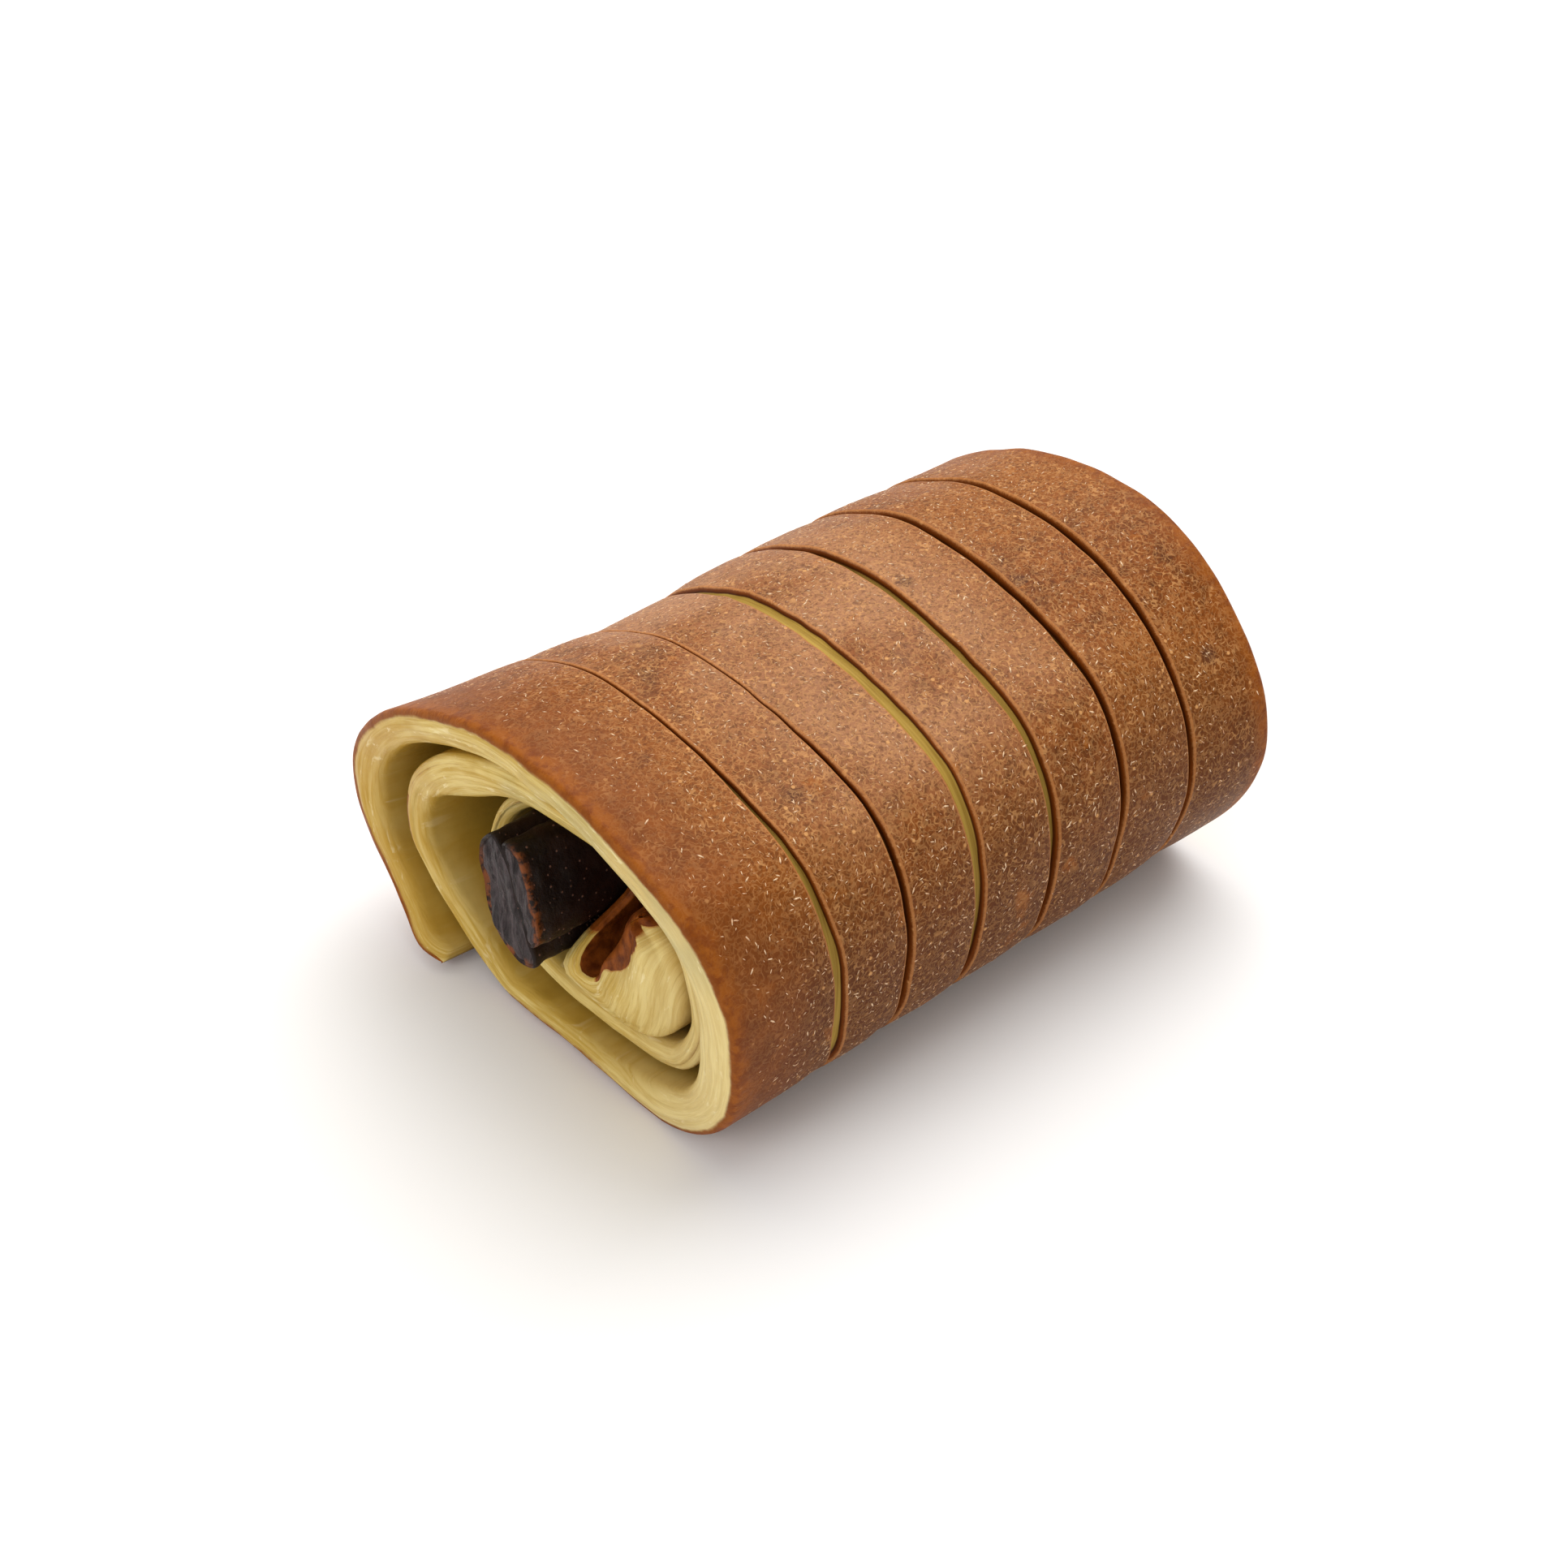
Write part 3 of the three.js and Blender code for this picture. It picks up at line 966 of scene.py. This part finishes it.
    def place(self, x: np.ndarray, y: np.ndarray, z: np.ndarray) -> np.ndarray:
        """Points of the roll, wider on the flap's side near the front end and flat underneath.

        Args:
            x: Place along the roll.
            y: Place across in the section.
            z: Height.

        Returns:
            Points.
        """
        squeeze = self.bulge * (1 - np.exp((self.front - x) / self.bulge_reach))
        y = y - squeeze * np.maximum(y - self.bulge_from, 0)
        return np.stack([x, y, np.maximum(z, 0)], -1)

    def build(self, shift: Vector, finish: bpy.types.Material) -> bpy.types.Object:
        """Makes the whole roll as one closed mesh.

        Args:
            shift: What brings it into the shared frame.
            finish: Its material.

        Returns:
            The object.
        """
        cut = self.sections()
        s, t, thick = cut["s"], cut["t"], cut["thick"]
        outer, inner = cut["outer"], cut["inner"]
        across = (inner - outer) / thick[:, None]
        lip_out = self.lip * (0.7 - 0.3 * ease(40, 41, t)) + 4.0 * ease(45.2, 47.2, t)
        lip_out = np.minimum(lip_out, 0.46 * thick)
        lip_in = np.minimum(self.lip * 1.35, 0.46 * thick)
        blob = ease(43.0, 45.5, t)
        quarter = np.linspace(0, math.pi / 2, 6)
        rows = len(s)

        def block(x: np.ndarray, deep: np.ndarray, **marks: np.ndarray) -> dict[str, np.ndarray]:
            """One run of columns round the sheet's section.

            Args:
                x: Place of each point along the roll.
                deep: How far it lies in from the outer side.
                **marks: Numbers for the finish; one left out is 0.

            Returns:
                Points, places in the layers and marks.
            """
            y = outer[:, :1] + across[:, :1] * deep
            z = outer[:, 1:] + across[:, 1:] * deep
            made = {"point": self.place(x, y, z)}
            made["layer"] = np.stack([np.broadcast_to(s[:, None], x.shape), deep, x], -1) * MM
            for name in ("edge", "cut", "floor", "toast", "wall", "depth"):
                made[name] = np.broadcast_to(marks.get(name, 0.0), x.shape)
            return made

        front_o, back_o, front_i, back_i = (
            self.end_x(side[:, 0], side[:, 1], cut["set"], s, front)
            for side in (outer, inner) for front in (True, False)
        )
        inside = ease(21.0, 24.0, t)
        tan = ease(37.0, 38.0, t)[:, None]
        top_tan = ease(48.5, 48.9, t)[:, None]
        # Painted shade: the sheet from station 37 to 41, beside the stick, is marked dark all over, where it
        # lies in shade.
        painted_core_shade = (ease(37.0, 38.0, t) * (1 - ease(40.5, 41.1, t)))[:, None]
        # Real browning on the blob's front, together with the painted shade beside the stick.
        front_tan_and_shade = np.maximum(ease(43.2, 44.4, t)[:, None], painted_core_shade)
        spill = 1.1 * (1 - ease(3.2, 4.6, t)) + 0.5 * (1 - ease(6, 8, t)) + 0.8 * bell(t, 18.2, 1.6)

        # The crust, from the front lip to the back lip.
        x, sunk, mark, floor = self.columns(cut, front_o + lip_out, back_o - lip_out)
        body_deep = sunk + self.swell(x, t, s) * (1 - inside)[:, None]
        skin_edge = np.where(inside[:, None] > 0.5, self.uncrusted, x - front_o[:, None])
        far_edge = np.where(inside[:, None] > 0.5, self.uncrusted, back_o[:, None] - x)
        swell_front = body_deep[:, :1] * np.ones_like(quarter)
        swell_back = body_deep[:, -1:] * np.ones_like(quarter)
        round_front_x = front_o[:, None] + lip_out[:, None] * (1 - np.cos(quarter))
        round_front_d = swell_front + lip_out[:, None] * (1 - np.sin(quarter))
        edge_front = np.where(inside[:, None] > 0.5, self.uncrusted, lip_out[:, None] * quarter * 0.9 - 0.05)
        round_back_x = back_o[:, None] - lip_out[:, None] * (1 - np.cos(quarter))
        round_back_d = swell_back + lip_out[:, None] * (1 - np.sin(quarter))
        from_ends = np.minimum(x - front_o[:, None], back_o[:, None] - x)
        depth_skin = np.where(inside[:, None] > 0.5, from_ends, 0)
        runs = [
            block(round_front_x[:, :-1], round_front_d[:, :-1], edge=edge_front[:, :-1] + spill[:, None],
                  toast=front_tan_and_shade),
            block(x, body_deep, edge=np.minimum(skin_edge, far_edge), cut=mark, floor=floor, toast=tan,
                  wall=inside[:, None], depth=np.maximum(depth_skin, 0)),
            block(round_back_x[:, :-1][:, ::-1], round_back_d[:, :-1][:, ::-1],
                  edge=edge_front[:, :-1][:, ::-1], toast=tan),
        ]
        crust_columns = sum(run["point"].shape[1] for run in runs)

        # The cut ends, layered and crowned.
        shares = np.linspace(0, 1, 19)[1:-1]
        face_from = lip_out[:, None] + body_deep[:, -1:]
        face_to = (thick - lip_in)[:, None]
        deep = face_from + (face_to - face_from) * shares
        leaf = 0.09 * self.rough.at(s[:, None] / 16, deep / 0.75 + 4)
        leaf = leaf + 0.08 * self.rough.at(s[:, None] / 7, deep / 0.4)
        crown = (0.3 + 1.3 * blob)[:, None] * (1 - (2 * shares - 1) ** 2)
        relief = leaf * (1 - (2 * shares - 1) ** 8) + crown
        face_x = back_o[:, None] + (back_i - back_o)[:, None] * shares + relief * 0.7
        runs.append(block(face_x, deep, edge=face_from - deep - 0.15))
        inner_d = thick[:, None] - lip_in[:, None] * (1 - np.sin(quarter))
        inner_b = back_i[:, None] - lip_in[:, None] * (1 - np.cos(quarter))
        runs.append(block(inner_b[:, :-1], inner_d[:, :-1], edge=self.uncrusted,
                          wall=(quarter[:-1] / 4.5)[None, :]))

        # The inner wall, back to the front.
        share = (0.5 - 0.5 * np.cos(np.pi * np.arange(0, 25) / 24))[None, :]
        start, end = (back_i - lip_in)[:, None], (front_i + lip_in)[:, None]
        wall_x = start + (end - start) * share
        dents = 0.16 * self.rough.rough(wall_x / 9, s[:, None] / 8 + 30, 2) * ease(0, 4, thick)[:, None]
        wall_d = thick[:, None] + dents * np.sin(np.pi * share)
        # Painted shade: the walls take more of their darker wall colour, and the finish paints them darker
        # olive, the further they lie in from the cut ends.
        hollow = np.minimum(start - wall_x, wall_x - end)
        runs.append(block(wall_x, wall_d, edge=self.uncrusted, wall=0.35 + 0.65 * ease(0, 5, hollow),
                          depth=hollow, toast=np.maximum(painted_core_shade * 0.8, top_tan)))
        inner_f = front_i[:, None] + lip_in[:, None] * (1 - np.cos(quarter))
        runs.append(block(inner_f[:, :-1][:, ::-1], inner_d[:, :-1][:, ::-1], edge=self.uncrusted,
                          wall=(quarter[:-1] / 4.5)[None, ::-1], toast=np.maximum(top_tan, painted_core_shade)))
        face_from = lip_out[:, None] + body_deep[:, :1]
        deep = face_from + (face_to - face_from) * shares
        face_x = front_o[:, None] + (front_i - front_o)[:, None] * shares - relief
        shoulder = ease(44.8, 46.2, t)[:, None] * (1 - ease(0.3, 1.8, deep - face_from))
        slant = ease(0.0, 0.5, t[:, None] - 46.9 - 2.0 * shares)
        runs.append(block(face_x[:, ::-1], deep[:, ::-1],
                          edge=(face_from - deep + spill[:, None])[:, ::-1] - 0.15,
                          toast=np.maximum(np.maximum(slant, shoulder), painted_core_shade)[:, ::-1]))

        body = Body("dough")
        joined = {name: np.concatenate([run[name] for run in runs], axis=1) for name in runs[0]}
        points = joined.pop("point")
        joined["depth"] = joined["depth"] * MM
        width = points.shape[1]
        first = body.add(points, **joined)
        body.rings(first, rows, width, True)
        place = points.reshape(-1, 3)[:, 0]
        for row, flip in ((0, False), (rows - 1, True)):
            base = first + row * width
            crust = list(range(base, base + crust_columns))
            wall = [base] + list(range(base + width - 1, base + crust_columns - 2, -1))
            wall[-1] = base + crust_columns - 1
            order = np.maximum.accumulate(place[np.array(wall) - first])
            steady = dict(zip(wall, order))
            track = np.maximum.accumulate(place[np.array(crust) - first])
            steady.update(zip(crust, track))
            lookup = np.zeros(body.count)
            lookup[list(steady)] = list(steady.values())
            count = len(body.loose)
            body.strip(crust, wall, lookup)
            faces = [f for f in body.loose[count:] if len(set(f)) == 3]
            body.loose[count:] = [f[::-1] for f in faces] if flip else faces
        LOG.info("dough: %d rows of %d", rows, width)
        return body.finish(shift, finish)


# --- The chocolate --------------------------------------------------------------------------------
@dataclass
class ChocolateStick:
    """One stick of chocolate along the roll. Millimetres."""

    name: str
    outline: tuple[tuple[float, float], ...]
    nose: float
    tail: float
    seed: int
    outside: tuple[float, float]
    edge: float = 0.8
    around: int = 112
    lengthwise: int = 70

    def build(self, shift: Vector, finish: bpy.types.Material) -> bpy.types.Object:
        """Makes the stick: soft sides, and rough broken ends.

        Args:
            shift: What brings it into the shared frame.
            finish: Its material.

        Returns:
            The object.
        """
        rough = Unevenness(self.seed)
        places = np.linspace(0, len(self.outline), self.around + 1)[:-1]
        ring = through_points(np.array(self.outline), places, True)
        middle = ring.mean(axis=0)
        way = np.roll(ring, -1, axis=0) - np.roll(ring, 1, axis=0)
        out = np.stack([way[:, 1], -way[:, 0]], 1) / np.linalg.norm(way, axis=1)[:, None]
        turn = np.sign(np.sum(out * (ring - middle)))
        out *= turn
        spin = np.arange(self.around) / self.around * 2 * math.pi
        xs, inset, shrink, broken, rim = [], [], [], [], []

        def ring_row(x: float, inward: float, size: float, face: float, brim: float) -> None:
            """Notes one ring.

            Args:
                x: Its place along the stick.
                inward: How far it is drawn in.
                size: Its share of the full outline.
                face: 1 on a broken end.
                brim: How near that end's brim it is, from 0 to 1.
            """
            xs.append(x)
            inset.append(inward)
            shrink.append(size)
            broken.append(face)
            rim.append(brim)

        for size in np.linspace(0.03, 0.93, 20):
            ring_row(self.nose, self.edge, size, 1, 0)
        for turned in np.linspace(0, math.pi / 2, 5):
            near = self.nose + self.edge * (1 - math.cos(turned))
            ring_row(near, self.edge * (1 - math.sin(turned)), 1, 1 if turned < 0.3 else 0, 1)
        for share in np.linspace(0, 1, self.lengthwise)[1:-1] ** 1.5:
            x = self.nose + self.edge + (self.tail - self.nose - 2 * self.edge) * share
            ring_row(x, 0, 1, 0, max(0.0, 1 - (x - self.nose - self.edge) / 0.8))
        for turned in np.linspace(math.pi / 2, 0, 5):
            near = self.tail - self.edge * (1 - math.cos(turned))
            ring_row(near, self.edge * (1 - math.sin(turned)), 1, 0, 0)
        for size in np.linspace(0.93, 0.03, 12):
            ring_row(self.tail, self.edge, size, 1, 0)
        xs, inset, shrink = np.array(xs)[:, None], np.array(inset)[:, None], np.array(shrink)[:, None]
        lump = 0.22 * rough.rough(xs / 4.5, np.sin(spin) * 2.2 + 5, 3)
        lump = lump + 0.16 * rough.at(xs / 1.6, np.cos(spin) * 5 + 9)
        lump = np.where(shrink < 1, 0, lump)
        yz = ring[None] + out[None] * (lump - inset)[..., None]
        yz = middle + (yz - middle) * shrink[..., None]
        grooves = rough.rough(yz[..., 0] / 1.5 - yz[..., 1] / 9, yz[..., 1] / 6.5, 3)
        pits = rough.rough(yz[..., 0] / 0.8 + 7, yz[..., 1] / 1.4, 2)
        face = np.where(shrink < 1, 1.0, 0.0) + np.where((shrink == 1) & (inset > self.edge * 0.6), 0.6, 0)
        push = face * (0.75 * grooves + 0.28 * pits - 0.1)
        side = np.where(xs < 0, 1.0, -1.0)
        x = xs + side * (push + 0.5) * np.where(face > 0, 1, 0)
        points = np.stack([x, yz[..., 0], yz[..., 1]], -1)
        rows = len(xs)
        facing = np.clip(out @ np.array(self.outside) * 1.6 - 0.2, 0, 1)
        marks = {"broken": np.broadcast_to(np.array(broken)[:, None], x.shape)}
        marks["rim"] = np.array(rim)[:, None] * facing
        body = Body(self.name)
        first = body.add(points, **marks)
        body.rings(first, rows, self.around, True)
        body.loose.append(tuple(range(first, first + self.around))[::-1])
        last = first + (rows - 1) * self.around
        body.loose.append(tuple(range(last, last + self.around)))
        LOG.info("%s: %d rings", self.name, rows)
        return body.finish(shift, finish)


# --- The flecks -----------------------------------------------------------------------------------
class Scatter(Enum):
    """The two sizes of fleck: length, width, height in millimetres, and number in a square centimetre."""

    FINE = (0.62, 0.14, 0.08, 50.0)
    BOLD = (0.9, 0.22, 0.12, 10.0)


@dataclass
class CrustFlecks:
    """Pale flecks of baked dough, scattered over the crust."""

    seed: int = 5
    clear: float = 0.0006

    def tree(self, name: str, finish: bpy.types.Material) -> bpy.types.NodeTree:
        """Builds the scatter.

        Args:
            name: The tree's name.
            finish: The flecks' material.

        Returns:
            The tree.
        """
        tree = bpy.data.node_groups.new(name, "GeometryNodeTree")
        face = tree.interface
        face.new_socket("Crust", in_out="INPUT", socket_type="NodeSocketGeometry")
        for label, value in (("Length", 0.0006), ("Width", 0.00013), ("Height", 0.00007), ("Density", 1.0)):
            socket = face.new_socket(label, in_out="INPUT", socket_type="NodeSocketFloat")
            socket.default_value = value
        seed = face.new_socket("Seed", in_out="INPUT", socket_type="NodeSocketInt")
        seed.default_value = self.seed
        face.new_socket("Flecks", in_out="OUTPUT", socket_type="NodeSocketGeometry")

        node = NodeBench(tree).node
        given = node("NodeGroupInput").outputs
        mark = node("GeometryNodeInputNamedAttribute", {"data_type": "FLOAT"}, {"Name": "skin"})
        thick = node("ShaderNodeMath", {"operation": "MULTIPLY"}, {0: mark.outputs[0], 1: given["Density"]})
        spread = node("GeometryNodeDistributePointsOnFaces", {"distribute_method": "RANDOM"},
                      {"Mesh": given["Crust"], "Density": thick.outputs[0], "Seed": given["Seed"]})
        grain = node("GeometryNodeMeshUVSphere", {}, {"Segments": 5, "Rings": 2, "Radius": 0.5})
        size = node("ShaderNodeCombineXYZ", {}, {0: given["Length"], 1: given["Width"], 2: given["Height"]})
        shaped = node("GeometryNodeTransform", {},
                      {"Geometry": grain.outputs["Mesh"], "Scale": size.outputs[0]})
        spin = node("FunctionNodeRandomValue", {"data_type": "FLOAT"},
                    {2: 0.0, 3: 6.2832, "Seed": given["Seed"]})
        turn = node("ShaderNodeCombineXYZ", {}, {2: spin.outputs[1]})
        turned = node("FunctionNodeRotateEuler", {"rotation_type": "EULER", "space": "LOCAL"},
                      {0: spread.outputs["Rotation"], 1: turn.outputs[0]})
        vary = node("FunctionNodeRandomValue", {"data_type": "FLOAT"}, {2: 0.5, 3: 1.35, "Seed": 3})
        placed = node("GeometryNodeInstanceOnPoints", {}, {
            "Points": spread.outputs["Points"], "Instance": shaped.outputs[0],
            "Rotation": turned.outputs[0], "Scale": vary.outputs[1],
        })
        solid = node("GeometryNodeRealizeInstances", {}, {0: placed.outputs[0]})
        dressed = node("GeometryNodeSetMaterial", {}, {"Geometry": solid.outputs[0], "Material": finish})
        node("NodeGroupOutput", {}, {0: dressed.outputs[0]})
        return tree

    def build(self, dough: bpy.types.Object, kind: Scatter, finish: bpy.types.Material) -> bpy.types.Object:
        """Scatters one size of fleck over the crust and keeps the result as a plain mesh.

        Args:
            dough: The roll.
            kind: The size.
            finish: The flecks' material.

        Returns:
            The object.
        """
        length, width, height, density = kind.value
        name = f"crust_flecks_{kind.name.lower()}"
        host = bpy.data.objects.new(name, dough.data.copy())
        bpy.context.scene.collection.objects.link(host)
        mesh = host.data
        edge, cut, toast = (np.zeros(len(mesh.vertices), np.float32) for _ in range(3))
        for mark, values in (("edge", edge), ("cut", cut), ("toast", toast)):
            mesh.attributes[mark].data.foreach_get("value", values)
        above = np.array([vertex.co.z for vertex in mesh.vertices]) > self.clear
        skin = np.clip((edge - 1.5) / 12, 0, 1) * (cut < 0.02) * (toast < 0.5) * above
        mesh.attributes.new("skin", "FLOAT", "POINT").data.foreach_set("value", skin.astype(np.float32))
        tree = self.tree(name, finish)
        modifier = host.modifiers.new("scatter", "NODES")
        modifier.node_group = tree
        sizes = {"Length": length * MM, "Width": width * MM, "Height": height * MM, "Density": density * 1e4}
        for item in tree.interface.items_tree:
            if item.item_type == "SOCKET" and item.in_out == "INPUT" and item.name in sizes:
                modifier[item.identifier] = sizes[item.name]
        graph = bpy.context.evaluated_depsgraph_get()
        flecks = bpy.data.meshes.new_from_object(host.evaluated_get(graph))
        host.modifiers.clear()
        host.data = flecks
        flecks.name = name
        flecks.shade_smooth()
        LOG.info("%s: %d faces", name, len(flecks.polygons))
        return host


# --- The studio -----------------------------------------------------------------------------------
@dataclass
class Studio:
    """A pale floor, soft lights and the camera. Metres."""

    azimuth: float = math.radians(-40.62)
    elevation: float = math.radians(39.48)
    eye: tuple[float, float, float] = (-0.20472, -0.22588, 0.27205)
    lens: float = 60.0

    def soft_light(
        self, name: str, at: tuple[float, float, float], aim: Vector, size: float, power: float
    ) -> None:
        """Adds a large square light.

        Args:
            name: Its name.
            at: Where it hangs.
            aim: What it faces.
            size: Its side.
            power: In watts.
        """
        data = bpy.data.lights.new(name, "AREA")
        data.shape = "SQUARE"
        data.size = size
        data.energy = power
        lamp = bpy.data.objects.new(name, data)
        lamp.location = at
        lamp.rotation_euler = (aim - Vector(at)).to_track_quat("-Z", "Y").to_euler()
        bpy.context.scene.collection.objects.link(lamp)

    def floor(self) -> bpy.types.Object:
        """A wide pale floor under the roll.

        Returns:
            The floor.
        """
        mesh = bpy.data.meshes.new("floor")
        far = 3.0
        corners = [(-far, -far, 0), (far, -far, 0), (far, far, 0), (-far, far, 0)]
        mesh.from_pydata(corners, [], [(0, 1, 2, 3)])
        mix = Recipe("floor_card")
        mesh.materials.append(mix.surface({"Base Color": (0.9, 0.885, 0.87, 1), "Roughness": 0.9}, {}))
        floor = bpy.data.objects.new("floor", mesh)
        bpy.context.scene.collection.objects.link(floor)
        return floor

    def build(self, shift: Vector) -> None:
        """Sets floor, lights, world and camera.

        Args:
            shift: What brings the roll's own drawing frame into the shared frame.
        """
        self.floor()
        aim = Vector((0, 0, 0.02))
        self.soft_light("key", (1.05, 0.65, 2.12), aim, 2.75, 66)
        self.soft_light("fill", (-2.1, -0.12, 1.25), aim, 1.5, 17)
        world = bpy.data.worlds.new("studio")
        bpy.context.scene.world = world
        world.use_nodes = True
        world.node_tree.nodes["Background"].inputs[0].default_value = (1, 0.99, 0.975, 1)
        world.node_tree.nodes["Background"].inputs[1].default_value = 0.6
        bpy.context.scene.view_settings.view_transform = "Standard"
        data = bpy.data.cameras.new("camera")
        data.lens = self.lens
        data.sensor_width = 36
        data.clip_start = 0.01
        camera = bpy.data.objects.new("camera", data)
        level = math.cos(self.elevation)
        back = Vector((
            math.sin(self.azimuth) * level, -math.cos(self.azimuth) * level, math.sin(self.elevation)
        ))
        camera.rotation_euler = (-back).to_track_quat("-Z", "Y").to_euler()
        camera.location = Vector(self.eye) + shift
        bpy.context.scene.collection.objects.link(camera)
        bpy.context.scene.camera = camera


def main() -> None:
    logging.basicConfig(level=logging.INFO, format="%(name)s %(message)s")
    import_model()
    low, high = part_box("dough_roll")
    roll = DoughRoll()
    furthest = roll.back + roll.back_lean * (roll.height - roll.middle_z)
    shift = Vector((high[0] - furthest * MM, low[1] + roll.far_side * MM, 0))
    LOG.info("shift %s", tuple(round(v / MM, 2) for v in shift))
    dough_finish = BakedDough().build()
    chocolate_finish = DarkChocolate().build()
    fleck_finish = CrumbFleck().build()
    dough = roll.build(shift, dough_finish)
    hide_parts("dough_roll")
    flecks = CrustFlecks()
    pieces = [(dough, "pastry")]
    for kind in Scatter:
        pieces.append((flecks.build(dough, kind, fleck_finish), "pastry"))
    wide = ChocolateStick(
        "wide_stick",
        ((8.6, 36.6), (11.4, 34.4), (12.7, 30.6), (12.0, 26.6), (11.5, 21.6), (8.9, 17.6), (5.0, 15.8),
         (1.6, 16.6), (0.6, 18.4), (2.0, 21.4), (3.4, 26.4), (5.4, 33.0)),
        -57.0, 50.4, 3, (0.6, -0.8),
    )
    narrow = ChocolateStick(
        "narrow_stick",
        ((6.2, 36.9), (4.3, 37.7), (2.0, 36.4), (0.3, 31.6), (-0.8, 27.2), (-1.1, 23.8), (0.0, 21.6),
         (1.8, 21.7), (3.3, 26.6), (5.1, 33.0)),
        -57.3, 50.0, 4, (-1.0, 0.2),
    )
    for stick, node in ((wide, "chocolate_stick_wide"), (narrow, "chocolate_stick_narrow")):
        piece = stick.build(shift, chocolate_finish)
        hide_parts(node)
        pieces.append((piece, "chocolate"))
    for piece, slot in pieces:
        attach(piece, "root")
        LOG.info("%s: %d vertices, slot %s", piece.name, len(piece.data.vertices), slot)
    Studio().build(shift)


if __name__ == "__main__":
    main()
